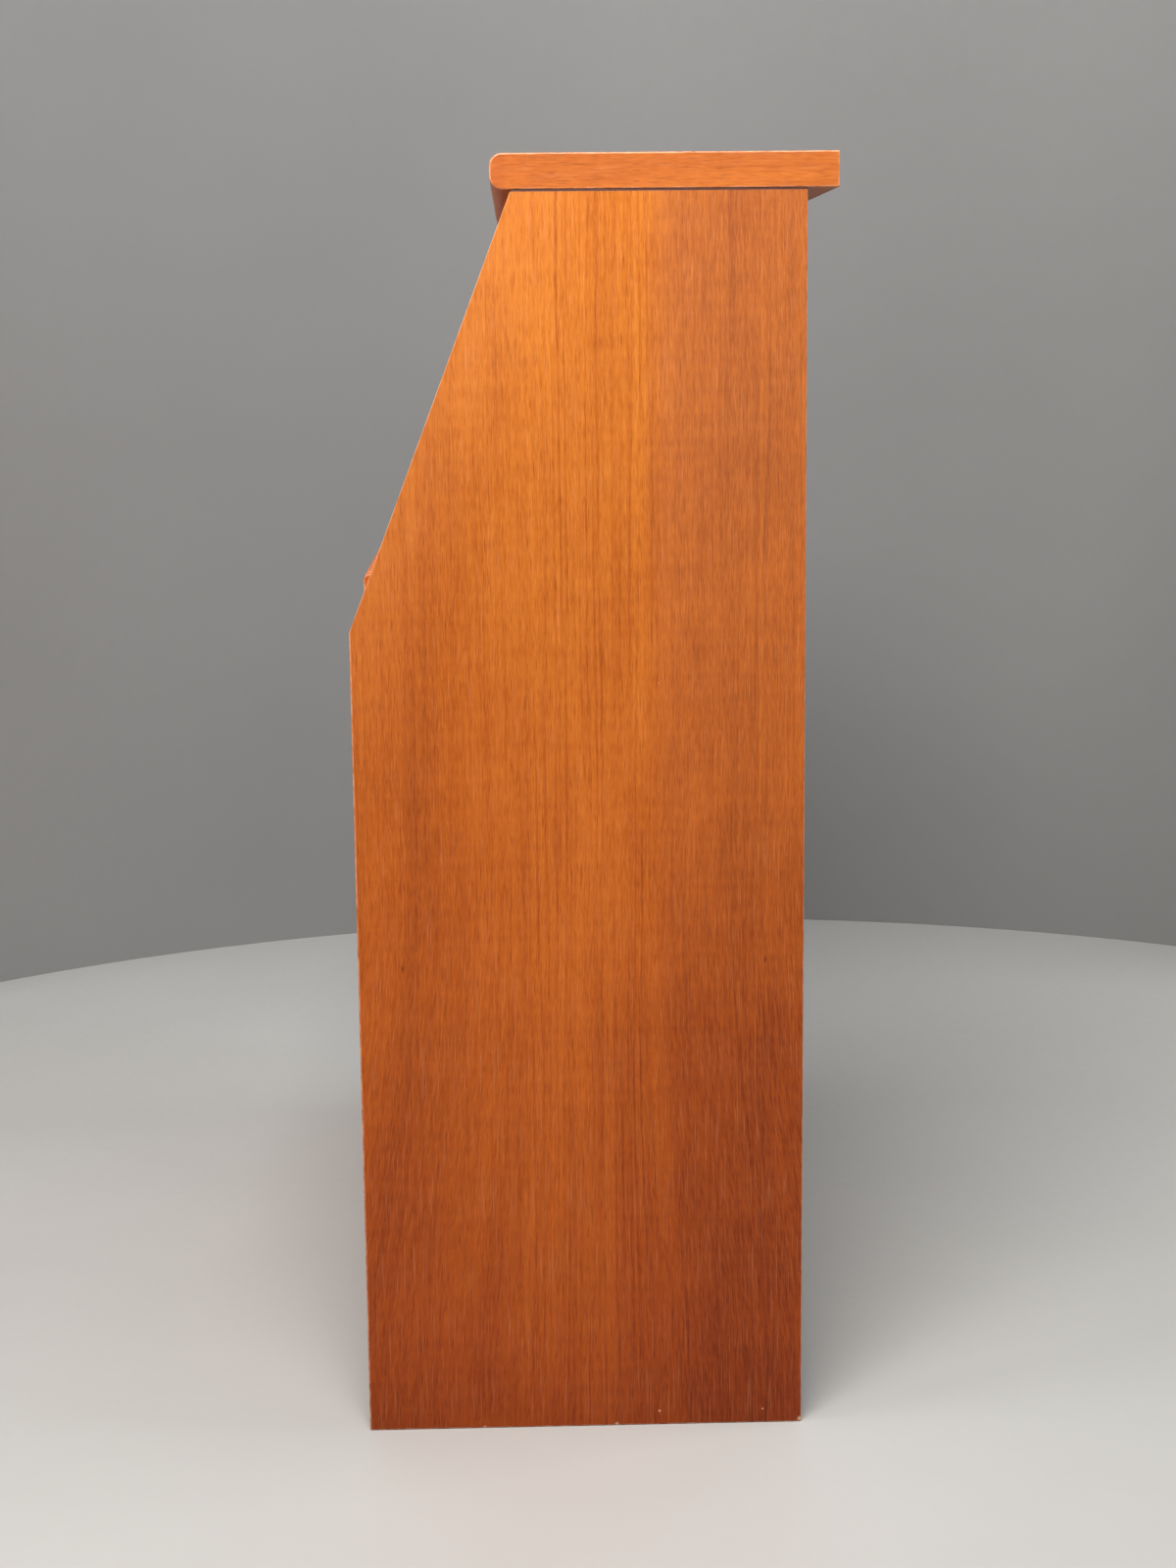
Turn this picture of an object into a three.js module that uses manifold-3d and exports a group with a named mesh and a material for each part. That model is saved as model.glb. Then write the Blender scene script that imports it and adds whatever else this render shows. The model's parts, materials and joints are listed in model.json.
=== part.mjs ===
// Secretary desk: a narrow veneered cabinet with a slanted fall front, three long drawers,
// two pull-out arms that carry the open flap, and a fitted gallery with two small drawers.
// Millimetres. +Z is up, the front faces -Y, and the origin is the middle of the footprint.

import * as THREE from 'three';
import { mergeVertices } from 'three/addons/utils/BufferGeometryUtils.js';
import Module from 'manifold-3d';

const wasm = await Module();
wasm.setup();

// ---------------------------------------------------------------- driving dimensions

// Whole desk
const WIDTH = 900;
const HEIGHT = 1060;
const DEPTH = 394;

// Side panels: upright, then slanted back above the corner
const SIDE_DEPTH = 369;
const SIDE_THICKNESS = 18;
const CORNER_Z = 684.5;
const SLOPE_RUN = 135.5;

// Top slab and its front lipping
const TOP_THICKNESS = 28;
const TOP_SETBACK = 119;
const LIPPING_DEPTH = 12;
const LIPPING_RADIUS = 11;

// Other carcass boards
const BACK_THICKNESS = 6;
const BACK_INSET = 2;
const BACK_BOTTOM_Z = 44;
const BOTTOM_THICKNESS = 18;
const PLINTH_HEIGHT = 62;
const PLINTH_THICKNESS = 18;
const PLINTH_SETBACK = 47;
const DECK_TOP_Z = 750;
const DECK_THICKNESS = 19;

// Lipped fronts: the rail, the pull-out arms and the long drawers share one section
const FACE_SETBACK = 24;
const LIP_REACH = 12;
const LIP_CORNER = 5;
const COVE_RADIUS = 10;
const COVE_DROP = 25;
const COVE_SETBACK = 6;
const FOOT_ROUND = 2;
const BOW = 3;
const BOW_STEPS = 8;
const CURVE_STEPS = 5;
const RAIL_HEIGHT = 40;
const RAIL_DEPTH = 50;

// Pull-out arms (lopers) and their bearers
const LOPER_WIDTH = 21.5;
const LOPER_LENGTH = 335;
const LOPER_PLAY = 0.5;
const BEARER_THICKNESS = 12;
const GUIDE_THICKNESS = 11.5;

// Fall front
const FLAP_THICKNESS = 18;
const FLAP_RECESS = 1;
const FLAP_LENGTH = 291;
const FLAP_SIDE_GAP = 1.5;
const HINGE_GAP = 0.6;
const TROUGH_HEIGHT = 222;
const TROUGH_RADIUS = 9;
const TROUGH_STRAIGHT = 90;
const TROUGH_END_STEPS = 4;
const TROUGH_SIDES = 20;

// Butt hinges
const HINGE_X = 290;
const HINGE_LENGTH = 60;
const LEAF_WIDTH = 18;
const LEAF_THICKNESS = 1.6;
const KNUCKLE_RADIUS = 3;
const KNUCKLE_BORE = 1.7;
const PIN_RADIUS = 1.3;
const KNUCKLE_GAP = 0.4;
const LET_IN_GAP = 0.3;
const ROD_SIDES = 16;

// Lock
const CASE_WIDTH = 60;
const CASE_HEIGHT = 42;
const CASE_THICKNESS = 11;
const BOLT_WIDTH = 20;
const BOLT_THICKNESS = 5;
const BOLT_LENGTH = 33.5;
const BOLT_DEPTH = 5.8;
const BOLT_REST_DEPTH = 0.5;
const ESCUTCHEON_RADIUS = 12;
const ESCUTCHEON_THICKNESS = 1.2;
const ESCUTCHEON_SIDES = 32;
const KEYHOLE_HEIGHT = 264;
const KEYHOLE_RADIUS = 3;
const KEYHOLE_SIDES = 20;
const KEY_SLOT_WIDTH = 2.6;
const KEY_SLOT_DROP = 7.5;
const STRIKE_Y = -48;
const STRIKE = { width: 48, depth: 24, thickness: 1.2, holeWidth: 24, holeDepth: 16 };
const STRIKE_POCKET_DEPTH = 10;

// Gallery behind the flap
const DIVIDER_X = 150;
const DIVIDER_THICKNESS = 10;
const GALLERY_FRONT_Y = 0;
const SHELF_THICKNESS = 10;
const SIDE_SHELF_Z = 822;
const CENTRE_SHELF_Z = 900;
const CENTRE_SHELF_SETBACK = 42;
const SIDE_SHELF_SETBACK = 2;

// The dividers' curved front edge: its two ends and, between them, how far it is pulled back
const DIVIDER_CURVE = {
  topSetback: 14, upperPull: 46, upperDrop: 50, lowerPull: 44, lowerRise: 70, footRise: 16,
};

// Long drawers, from the bottom up, with a gap between their fronts
const LONG_DRAWERS = [
  { name: 'bottom', height: 231 },
  { name: 'middle', height: 200 },
  { name: 'top', height: 170 },
];
const FIRST_FRONT_Z = 82;
const FRONT_GAP = 3;
const FRONT_SIDE_GAP = 2;
const FRONT_THICKNESS = 18;
const DRAWER_SIDE = 12;
const DRAWER_LENGTH = 300;
const DRAWER_BOTTOM = 5;
const BOTTOM_RISE = 8;
const SIDE_DROP = 36;
const BACK_DROP = 8;
const RUNNER_WIDTH = 24;
const RUNNER_HEIGHT = 18;
const RUNNER_RISE = 4;
const RUN_CLEARANCE = 0.5;

// Small drawers
const SMALL = {
  frontThickness: 12, top: 820, bottom: 751.5, gap: 2, side: 8, length: 136,
  sideTop: 812, floor: 4, floorRise: 4,
};

// Turned knob, as radius and distance from the drawer front: a flared foot, a neck, a domed head
const KNOB_SIDES = 16;
const KNOB_PROFILE = [
  [0, 0], [4.6, 0], [3.4, 4], [4, 7], [7.2, 9], [8, 11], [6.6, 13.2], [3.4, 14], [0, 14],
];

// Worked out from the above
const FRONT_Y = -DEPTH / 2;
const REAR_Y = DEPTH / 2;
const HALF = WIDTH / 2;
const INNER = HALF - SIDE_THICKNESS;
const TOP_Z = HEIGHT - TOP_THICKNESS;
const SIDE_BACK_Y = FRONT_Y + SIDE_DEPTH;
const BACK_Y = SIDE_BACK_Y - BACK_INSET - BACK_THICKNESS;
const SLOPE = Math.atan(SLOPE_RUN / (TOP_Z - CORNER_Z));
const RAIL_TOP_Z = DECK_TOP_Z - DECK_THICKNESS;
const RAIL_BOTTOM_Z = RAIL_TOP_Z - RAIL_HEIGHT;
const FACE_Y = FRONT_Y + FACE_SETBACK;
const RAIL_BACK_Y = FACE_Y - LIP_REACH + RAIL_DEPTH;
const SLOPE_AT_HINGE_Y = FRONT_Y + (DECK_TOP_Z - CORNER_Z) * Math.tan(SLOPE);
const HINGE_Y = SLOPE_AT_HINGE_Y + (FLAP_THICKNESS + FLAP_RECESS) / Math.cos(SLOPE);
const RAIL_HALF = INNER - LOPER_PLAY - LOPER_WIDTH - LOPER_PLAY;

// ---------------------------------------------------------------- materials

const finish = (color, roughness, metalness = 0) =>
  new THREE.MeshStandardMaterial({ color, roughness, metalness });

const teakVeneer = finish(0xb4622e, 0.45);
const teakSolid = finish(0xa9562a, 0.45);
const teakBack = finish(0x8f5a33, 0.7);
const beech = finish(0xcfa878, 0.6);
const plywood = finish(0xc49a68, 0.7);
const brass = finish(0xb5924c, 0.35, 0.9);
const steel = finish(0x8a8a88, 0.4, 0.9);

// ---------------------------------------------------------------- helpers

const desk = new THREE.Group();

/** Adds a named mesh to a group, the desk unless another is given. */
function add(name, geometry, material, group = desk) {
  const mesh = new THREE.Mesh(geometry, material);
  mesh.name = name;
  group.add(mesh);
  return mesh;
}

/** A box between two limits on each axis, as a geometry. */
function block([x0, x1], [y0, y1], [z0, z1]) {
  const geometry = new THREE.BoxGeometry(x1 - x0, y1 - y0, z1 - z0);
  return geometry.translate((x0 + x1) / 2, (y0 + y1) / 2, (z0 + z1) / 2);
}

/** A plain board between two limits on each axis, placed by its centre. */
function board(name, [x0, x1], [y0, y1], [z0, z1], material) {
  const mesh = add(name, new THREE.BoxGeometry(x1 - x0, y1 - y0, z1 - z0), material);
  mesh.position.set((x0 + x1) / 2, (y0 + y1) / 2, (z0 + z1) / 2);
  return mesh;
}

/** An outline drawn in (y, z), run along x from x0 to x1. */
function alongX(outline, x0, x1, steps = 1) {
  const options = { depth: x1 - x0, bevelEnabled: false, steps, curveSegments: CURVE_STEPS };
  const geometry = new THREE.ExtrudeGeometry(outline, options);
  const toYZX = new THREE.Matrix4().makeBasis(
    new THREE.Vector3(0, 1, 0),
    new THREE.Vector3(0, 0, 1),
    new THREE.Vector3(1, 0, 0),
  );
  return geometry.applyMatrix4(toYZX).translate(x0, 0, 0);
}

/** An outline drawn in (x, z), run along y from y0 to y1. */
function alongY(outline, y0, y1) {
  const geometry = new THREE.ExtrudeGeometry(outline, { depth: y1 - y0, bevelEnabled: false });
  const toXZ = new THREE.Matrix4().makeBasis(
    new THREE.Vector3(1, 0, 0),
    new THREE.Vector3(0, 0, 1),
    new THREE.Vector3(0, -1, 0),
  );
  return geometry.applyMatrix4(toXZ).translate(0, y1, 0);
}

/** A round rod along x, centred on the x axis. */
function rodAlongX(radius, x0, x1) {
  const geometry = new THREE.CylinderGeometry(radius, radius, x1 - x0, ROD_SIDES);
  return geometry.rotateZ(Math.PI / 2).translate((x0 + x1) / 2, 0, 0);
}

/** A closed geometry as a solid that can be cut and joined. */
function solid(geometry) {
  const bare = geometry.clone();
  bare.deleteAttribute('normal');
  bare.deleteAttribute('uv');
  const merged = mergeVertices(bare);
  const mesh = new wasm.Mesh({
    numProp: 3,
    vertProperties: merged.attributes.position.array,
    triVerts: Uint32Array.from(merged.index.array),
  });
  return new wasm.Manifold(mesh);
}

/** A solid back as a geometry. */
function surface(shape) {
  const mesh = shape.getMesh();
  const geometry = new THREE.BufferGeometry();
  geometry.setAttribute('position', new THREE.BufferAttribute(mesh.vertProperties, 3));
  geometry.setIndex(new THREE.BufferAttribute(mesh.triVerts, 1));
  geometry.computeVertexNormals();
  return geometry;
}

/** One geometry with others cut out of it. */
function cut(geometry, ...cutters) {
  const remaining = cutters.reduce((shape, cutter) => shape.subtract(solid(cutter)), solid(geometry));
  return surface(remaining);
}

/** Geometries joined into one body. */
function join(first, ...others) {
  return surface(others.reduce((shape, other) => shape.add(solid(other)), solid(first)));
}

/** Calls make('left', -1) and make('right', 1), as seen from the front. */
function bothSides(make) {
  make('left', -1);
  make('right', 1);
}

/** Limits on x, mirrored onto the left for side -1. */
const mirrored = (side, inner, outer) => (side > 0 ? [inner, outer] : [-outer, -inner]);

// ---------------------------------------------------------------- lipped fronts

/**
 * The section shared by the rail, the arms and the long drawers: an upright face, a cove that
 * takes the fingertips, and a lip over it with a rounded top corner.
 */
function lippedOutline(bottom, top, back) {
  const lipY = FACE_Y - LIP_REACH;
  const coveY = FACE_Y - COVE_SETBACK;
  const coveZ = top - COVE_DROP;
  const coveAngle = Math.acos(COVE_SETBACK / COVE_RADIUS);
  const outline = new THREE.Shape();
  outline.moveTo(back, bottom);
  outline.lineTo(back, top);
  outline.lineTo(lipY + LIP_CORNER, top);
  outline.absarc(lipY + LIP_CORNER, top - LIP_CORNER, LIP_CORNER, Math.PI / 2, Math.PI, false);
  outline.absarc(coveY, coveZ, COVE_RADIUS, Math.PI - coveAngle, -coveAngle, true);
  outline.absarc(FACE_Y + FOOT_ROUND, bottom + FOOT_ROUND, FOOT_ROUND, Math.PI, Math.PI * 1.5, false);
  outline.closePath();
  return outline;
}

/** Bows what stands forward of the upright face: most at mid-width, nothing at the side panels. */
function bowForward(geometry) {
  const position = geometry.attributes.position;
  for (let i = 0; i < position.count; i += 1) {
    const reach = FACE_Y - position.getY(i);
    if (reach > 0) {
      const across = position.getX(i) / INNER;
      const swell = BOW * (1 - across * across);
      position.setY(i, FACE_Y - reach * (1 + swell / LIP_REACH));
    }
  }
  return geometry;
}

/** A lipped bar or front between two limits on x. */
const lippedFront = (x0, x1, bottom, top, back, steps) =>
  bowForward(alongX(lippedOutline(bottom, top, back), x0, x1, steps));

// ---------------------------------------------------------------- carcass

function addCarcass() {
  const side = new THREE.Shape();
  side.moveTo(FRONT_Y, 0);
  side.lineTo(SIDE_BACK_Y, 0);
  side.lineTo(SIDE_BACK_Y, TOP_Z);
  side.lineTo(FRONT_Y + SLOPE_RUN, TOP_Z);
  side.lineTo(FRONT_Y, CORNER_Z);
  bothSides((name, sign) => {
    add(`side_panel_${name}`, alongX(side, ...mirrored(sign, INNER, HALF)), teakVeneer);
  });

  const strike = STRIKE;
  const topFront = FRONT_Y + TOP_SETBACK;
  const slab = block([-HALF, HALF], [topFront + LIPPING_DEPTH, REAR_Y], [TOP_Z, HEIGHT]);
  const plateRecess = block(
    [-strike.width / 2 - LET_IN_GAP, strike.width / 2 + LET_IN_GAP],
    [STRIKE_Y - strike.depth / 2 - LET_IN_GAP, STRIKE_Y + strike.depth / 2 + LET_IN_GAP],
    [TOP_Z - 1, TOP_Z + strike.thickness + LET_IN_GAP],
  );
  const boltPocket = block(
    [-strike.holeWidth / 2, strike.holeWidth / 2],
    [STRIKE_Y - strike.holeDepth / 2, STRIKE_Y + strike.holeDepth / 2],
    [TOP_Z - 1, TOP_Z + STRIKE_POCKET_DEPTH],
  );
  add('top_panel', cut(slab, plateRecess, boltPocket), teakVeneer);

  const nose = new THREE.Shape();
  const r = LIPPING_RADIUS;
  nose.moveTo(topFront + LIPPING_DEPTH, TOP_Z);
  nose.lineTo(topFront + LIPPING_DEPTH, HEIGHT);
  nose.absarc(topFront + r, HEIGHT - r, r, Math.PI / 2, Math.PI, false);
  nose.absarc(topFront + r, TOP_Z + r, r, Math.PI, Math.PI * 1.5, false);
  nose.closePath();
  add('top_front_lipping', alongX(nose, -HALF, HALF), teakSolid);

  const across = [-INNER, INNER];
  const bottomTop = PLINTH_HEIGHT + BOTTOM_THICKNESS;
  const plinthY = FRONT_Y + PLINTH_SETBACK;
  board('back_panel', across, [BACK_Y, BACK_Y + BACK_THICKNESS], [BACK_BOTTOM_Z, TOP_Z], teakBack);
  board('bottom_panel', across, [FACE_Y, BACK_Y], [PLINTH_HEIGHT, bottomTop], teakVeneer);
  board('plinth_rail', across, [plinthY, plinthY + PLINTH_THICKNESS], [0, PLINTH_HEIGHT], teakSolid);

  const deck = block(across, [HINGE_Y + HINGE_GAP, BACK_Y], [RAIL_TOP_Z, DECK_TOP_Z]);
  const recesses = [-HINGE_X, HINGE_X].flatMap((x) => deckHingeRecess(x));
  add('writing_deck', cut(deck, ...recesses), teakVeneer);

  const rail = lippedFront(-RAIL_HALF, RAIL_HALF, RAIL_BOTTOM_Z, RAIL_TOP_Z, RAIL_BACK_Y, BOW_STEPS);
  add('front_rail', rail, teakSolid);
}

// ---------------------------------------------------------------- pull-out arms

function addArms() {
  const guideX = INNER - LOPER_WIDTH - 2 * LOPER_PLAY;
  const bearerX = guideX - GUIDE_THICKNESS;
  const bottom = RAIL_BOTTOM_Z - BEARER_THICKNESS;
  bothSides((name, sign) => {
    const section = new THREE.Shape();
    section.moveTo(sign * bearerX, bottom);
    section.lineTo(sign * INNER, bottom);
    section.lineTo(sign * INNER, RAIL_BOTTOM_Z);
    section.lineTo(sign * guideX, RAIL_BOTTOM_Z);
    section.lineTo(sign * guideX, RAIL_TOP_Z);
    section.lineTo(sign * bearerX, RAIL_TOP_Z);
    add(`loper_bearer_${name}`, alongY(section, RAIL_BACK_Y, BACK_Y), beech);

    const [x0, x1] = mirrored(sign, guideX + LOPER_PLAY, INNER - LOPER_PLAY);
    const back = FACE_Y - LIP_REACH + LOPER_LENGTH;
    const arm = lippedFront(
      x0, x1, RAIL_BOTTOM_Z + LOPER_PLAY, RAIL_TOP_Z - LOPER_PLAY, back, 1,
    );
    add(`loper_${name}`, arm, teakSolid);
  });
}

// ---------------------------------------------------------------- hinges
// Drawn about the hinge line: x along it, and the leaf's outer face at height 0.

/** Knuckle pieces and a leaf as one body, bored for the pin; plate runs away from the line. */
function hingeLeaf(centre, knuckles, plate) {
  const tubes = knuckles.map(([x0, x1]) => rodAlongX(KNUCKLE_RADIUS, centre + x0, centre + x1));
  const half = HINGE_LENGTH / 2 + 1;
  const bore = rodAlongX(KNUCKLE_BORE, centre - half, centre + half);
  return cut(join(plate, ...tubes), bore, ...knuckleGaps(centre, knuckles));
}

/** Clearance round the line where the other leaf's knuckles turn. */
function knuckleGaps(centre, knuckles) {
  const reach = KNUCKLE_RADIUS + KNUCKLE_GAP;
  const ends = [-HINGE_LENGTH / 2 - 1, ...knuckles.flat(), HINGE_LENGTH / 2 + 1];
  const gaps = [];
  for (let i = 0; i < ends.length; i += 2) {
    gaps.push(rodAlongX(reach, centre + ends[i], centre + ends[i + 1]));
  }
  return gaps;
}

const KNUCKLE_THIRD = HINGE_LENGTH / 6;
const MIDDLE_KNUCKLE = [[-KNUCKLE_THIRD, KNUCKLE_THIRD]];
const OUTER_KNUCKLES = [
  [-HINGE_LENGTH / 2, -KNUCKLE_THIRD - KNUCKLE_GAP],
  [KNUCKLE_THIRD + KNUCKLE_GAP, HINGE_LENGTH / 2],
];

/** What is let into the deck for one hinge: the leaf's bed and a notch for the knuckles. */
function deckHingeRecess(x) {
  const half = HINGE_LENGTH / 2 + LET_IN_GAP;
  const notch = KNUCKLE_RADIUS + 2 * LET_IN_GAP;
  const bed = LEAF_THICKNESS + LET_IN_GAP;
  const above = DECK_TOP_Z + 1;
  return [
    block([x - half, x + half], [HINGE_Y - 1, HINGE_Y + LEAF_WIDTH + LET_IN_GAP], [DECK_TOP_Z - bed, above]),
    block([x - half, x + half], [HINGE_Y - 1, HINGE_Y + notch], [DECK_TOP_Z - notch, above]),
  ];
}

/** The same in the flap, drawn in the flap's own frame. */
function flapHingeRecess(x) {
  const half = HINGE_LENGTH / 2 + LET_IN_GAP;
  const notch = KNUCKLE_RADIUS + 2 * LET_IN_GAP;
  const bed = LEAF_THICKNESS + LET_IN_GAP;
  return [
    block([x - half, x + half], [-bed, 1], [-1, LEAF_WIDTH + LET_IN_GAP]),
    block([x - half, x + half], [-notch, 1], [-1, notch]),
  ];
}

// ---------------------------------------------------------------- fall front
// The flap's own frame: z runs up the slope from the hinge line, and -y points outwards.

const fallFront = new THREE.Group();
fallFront.position.set(0, HINGE_Y, DECK_TOP_Z);
fallFront.rotation.x = -SLOPE;
desk.add(fallFront);

/** A keyhole right through, along y: a round head with a narrower slot below it. */
function keyhole(y0, y1) {
  const head = new THREE.CylinderGeometry(KEYHOLE_RADIUS, KEYHOLE_RADIUS, y1 - y0, KEYHOLE_SIDES);
  head.translate(0, (y0 + y1) / 2, KEYHOLE_HEIGHT);
  const half = KEY_SLOT_WIDTH / 2;
  const slot = block([-half, half], [y0, y1], [KEYHOLE_HEIGHT - KEY_SLOT_DROP, KEYHOLE_HEIGHT]);
  return join(head, slot);
}

function addFallFront() {
  const half = INNER - FLAP_SIDE_GAP;
  const outer = -FLAP_THICKNESS;
  const top = FLAP_LENGTH;
  const caseHalf = CASE_WIDTH / 2;
  const gap = LET_IN_GAP;
  const caseRecess = block(
    [-caseHalf - gap, caseHalf + gap],
    [-CASE_THICKNESS - gap, 1],
    [top - CASE_HEIGHT - gap, top + 1],
  );
  const discRadius = ESCUTCHEON_RADIUS + gap;
  const cutLength = 3;
  const discRecess = new THREE.CylinderGeometry(discRadius, discRadius, cutLength, ESCUTCHEON_SIDES);
  discRecess.translate(0, outer + ESCUTCHEON_THICKNESS + gap - cutLength / 2, KEYHOLE_HEIGHT);
  const trough = new THREE.CapsuleGeometry(
    TROUGH_RADIUS, TROUGH_STRAIGHT, TROUGH_END_STEPS, TROUGH_SIDES,
  );
  trough.rotateZ(Math.PI / 2).translate(0, outer, TROUGH_HEIGHT);
  const panel = cut(
    block([-half, half], [outer, 0], [HINGE_GAP, top]),
    caseRecess,
    discRecess,
    trough,
    keyhole(outer - 1, 1),
    ...flapHingeRecess(-HINGE_X),
    ...flapHingeRecess(HINGE_X),
  );
  add('fall_front', panel, teakVeneer, fallFront);

  const disc = new THREE.CylinderGeometry(
    ESCUTCHEON_RADIUS, ESCUTCHEON_RADIUS, ESCUTCHEON_THICKNESS, ESCUTCHEON_SIDES,
  );
  disc.translate(0, outer + ESCUTCHEON_THICKNESS / 2, KEYHOLE_HEIGHT);
  add('escutcheon', cut(disc, keyhole(outer - 1, outer + 3)), brass, fallFront);

  const boltY = [-BOLT_DEPTH - BOLT_THICKNESS / 2, -BOLT_DEPTH + BOLT_THICKNESS / 2];
  const boltX = [-BOLT_WIDTH / 2, BOLT_WIDTH / 2];
  const boltTop = top - BOLT_REST_DEPTH;
  const channel = block(
    boltX.map((x) => x + Math.sign(x) * gap),
    [boltY[0] - gap, boltY[1] + gap],
    [boltTop - BOLT_LENGTH - gap, top + 1],
  );
  const body = block([-caseHalf, caseHalf], [-CASE_THICKNESS, 0], [top - CASE_HEIGHT, top]);
  add('lock_case', cut(body, channel), brass, fallFront);
  add('lock_bolt', block(boltX, boltY, [boltTop - BOLT_LENGTH, boltTop]), steel, fallFront);
}

function addHinges() {
  const third = [HINGE_GAP, LEAF_WIDTH];
  bothSides((name, sign) => {
    const x = sign * HINGE_X;
    const span = [x - HINGE_LENGTH / 2, x + HINGE_LENGTH / 2];
    const deckPlate = block(span, third, [-LEAF_THICKNESS, 0]);
    const deckLeaf = add(`hinge_${name}_deck_leaf`, hingeLeaf(x, MIDDLE_KNUCKLE, deckPlate), brass);
    deckLeaf.position.set(0, HINGE_Y, DECK_TOP_Z);

    const flapPlate = block(span, [-LEAF_THICKNESS, 0], third);
    add(`hinge_${name}_flap_leaf`, hingeLeaf(x, OUTER_KNUCKLES, flapPlate), brass, fallFront);

    const pin = add(`hinge_${name}_pin`, rodAlongX(PIN_RADIUS, ...span), steel);
    pin.position.set(0, HINGE_Y, DECK_TOP_Z);
  });
}

function addStrikePlate() {
  const { width, depth, thickness, holeWidth, holeDepth } = STRIKE;
  const plate = block(
    [-width / 2, width / 2],
    [STRIKE_Y - depth / 2, STRIKE_Y + depth / 2],
    [TOP_Z, TOP_Z + thickness],
  );
  const hole = block(
    [-holeWidth / 2, holeWidth / 2],
    [STRIKE_Y - holeDepth / 2, STRIKE_Y + holeDepth / 2],
    [TOP_Z - 1, TOP_Z + thickness + 1],
  );
  add('strike_plate', cut(plate, hole), brass);
}

// ---------------------------------------------------------------- gallery

function addGallery() {
  const curve = DIVIDER_CURVE;
  const divider = new THREE.Shape();
  divider.moveTo(BACK_Y, DECK_TOP_Z);
  divider.lineTo(BACK_Y, TOP_Z);
  divider.lineTo(GALLERY_FRONT_Y + curve.topSetback, TOP_Z);
  divider.bezierCurveTo(
    GALLERY_FRONT_Y + curve.upperPull, TOP_Z - curve.upperDrop,
    GALLERY_FRONT_Y + curve.lowerPull, SIDE_SHELF_Z + curve.lowerRise,
    GALLERY_FRONT_Y, SIDE_SHELF_Z + curve.footRise,
  );
  divider.lineTo(GALLERY_FRONT_Y, DECK_TOP_Z);
  const inner = DIVIDER_X - DIVIDER_THICKNESS / 2;
  const outer = DIVIDER_X + DIVIDER_THICKNESS / 2;
  bothSides((name, sign) => {
    add(`gallery_divider_${name}`, alongX(divider, ...mirrored(sign, inner, outer)), teakSolid);
    board(
      `gallery_shelf_${name}`,
      mirrored(sign, outer, INNER),
      [GALLERY_FRONT_Y + SIDE_SHELF_SETBACK, BACK_Y],
      [SIDE_SHELF_Z, SIDE_SHELF_Z + SHELF_THICKNESS],
      teakVeneer,
    );
    addSmallDrawer(`letter_drawer_${name}`, mirrored(sign, outer + SMALL.gap, INNER - SMALL.gap));
  });
  board(
    'gallery_shelf_centre',
    [-inner, inner],
    [GALLERY_FRONT_Y + CENTRE_SHELF_SETBACK, BACK_Y],
    [CENTRE_SHELF_Z, CENTRE_SHELF_Z + SHELF_THICKNESS],
    teakVeneer,
  );
}

function addSmallDrawer(name, [x0, x1]) {
  const s = SMALL;
  const front = GALLERY_FRONT_Y + s.gap;
  const box = front + s.frontThickness;
  const back = box + s.length;
  const low = DECK_TOP_Z + RUN_CLEARANCE;
  const floor = [low + s.floorRise, low + s.floorRise + s.floor];
  const inside = [x0 + s.side, x1 - s.side];
  board(`${name}_front`, [x0, x1], [front, box], [s.bottom, s.top], teakVeneer);
  board(`${name}_side_left`, [x0, inside[0]], [box, back], [low, s.sideTop], beech);
  board(`${name}_side_right`, [inside[1], x1], [box, back], [low, s.sideTop], beech);
  board(`${name}_bottom`, inside, [box, back], floor, plywood);
  board(`${name}_back`, inside, [back - s.side, back], [floor[1], s.sideTop], beech);

  const points = KNOB_PROFILE.map(([radius, out]) => new THREE.Vector2(radius, out));
  const knob = add(`${name}_knob`, new THREE.LatheGeometry(points, KNOB_SIDES), teakSolid);
  knob.rotation.x = Math.PI;
  knob.position.set((x0 + x1) / 2, front, (s.bottom + s.top) / 2);
}

// ---------------------------------------------------------------- long drawers

function addLongDrawers() {
  const bottomTop = PLINTH_HEIGHT + BOTTOM_THICKNESS;
  const frontBack = FACE_Y + FRONT_THICKNESS;
  const frontHalf = INNER - FRONT_SIDE_GAP;
  const boxBack = frontBack + DRAWER_LENGTH;
  const insideHalf = frontHalf - DRAWER_SIDE;
  let low = FIRST_FRONT_Z;
  for (const [index, { name, height }] of LONG_DRAWERS.entries()) {
    const top = low + height;
    const bearing = index === 0 ? bottomTop : low + RUNNER_RISE;
    const sideLow = bearing + RUN_CLEARANCE;
    const sideTop = top - SIDE_DROP;
    const floor = [sideLow + BOTTOM_RISE, sideLow + BOTTOM_RISE + DRAWER_BOTTOM];
    const node = `drawer_${name}`;
    const front = lippedFront(-frontHalf, frontHalf, low, top, frontBack, BOW_STEPS);
    add(`${node}_front`, front, teakVeneer);
    bothSides((side, sign) => {
      const sideX = mirrored(sign, insideHalf, frontHalf);
      board(`${node}_side_${side}`, sideX, [frontBack, boxBack], [sideLow, sideTop], beech);
    });
    const inside = [-insideHalf, insideHalf];
    board(`${node}_bottom`, inside, [frontBack, boxBack], floor, plywood);
    board(`${node}_back`, inside, [boxBack - DRAWER_SIDE, boxBack], [floor[1], sideTop - BACK_DROP], beech);
    if (index > 0) {
      addRunners(name, bearing, frontBack);
    }
    low = top + FRONT_GAP;
  }
}

function addRunners(name, top, frontBack) {
  bothSides((side, sign) => {
    board(
      `runner_${name}_${side}`,
      mirrored(sign, INNER - RUNNER_WIDTH, INNER),
      [frontBack + RUN_CLEARANCE, BACK_Y],
      [top - RUNNER_HEIGHT, top],
      beech,
    );
  });
}

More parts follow.
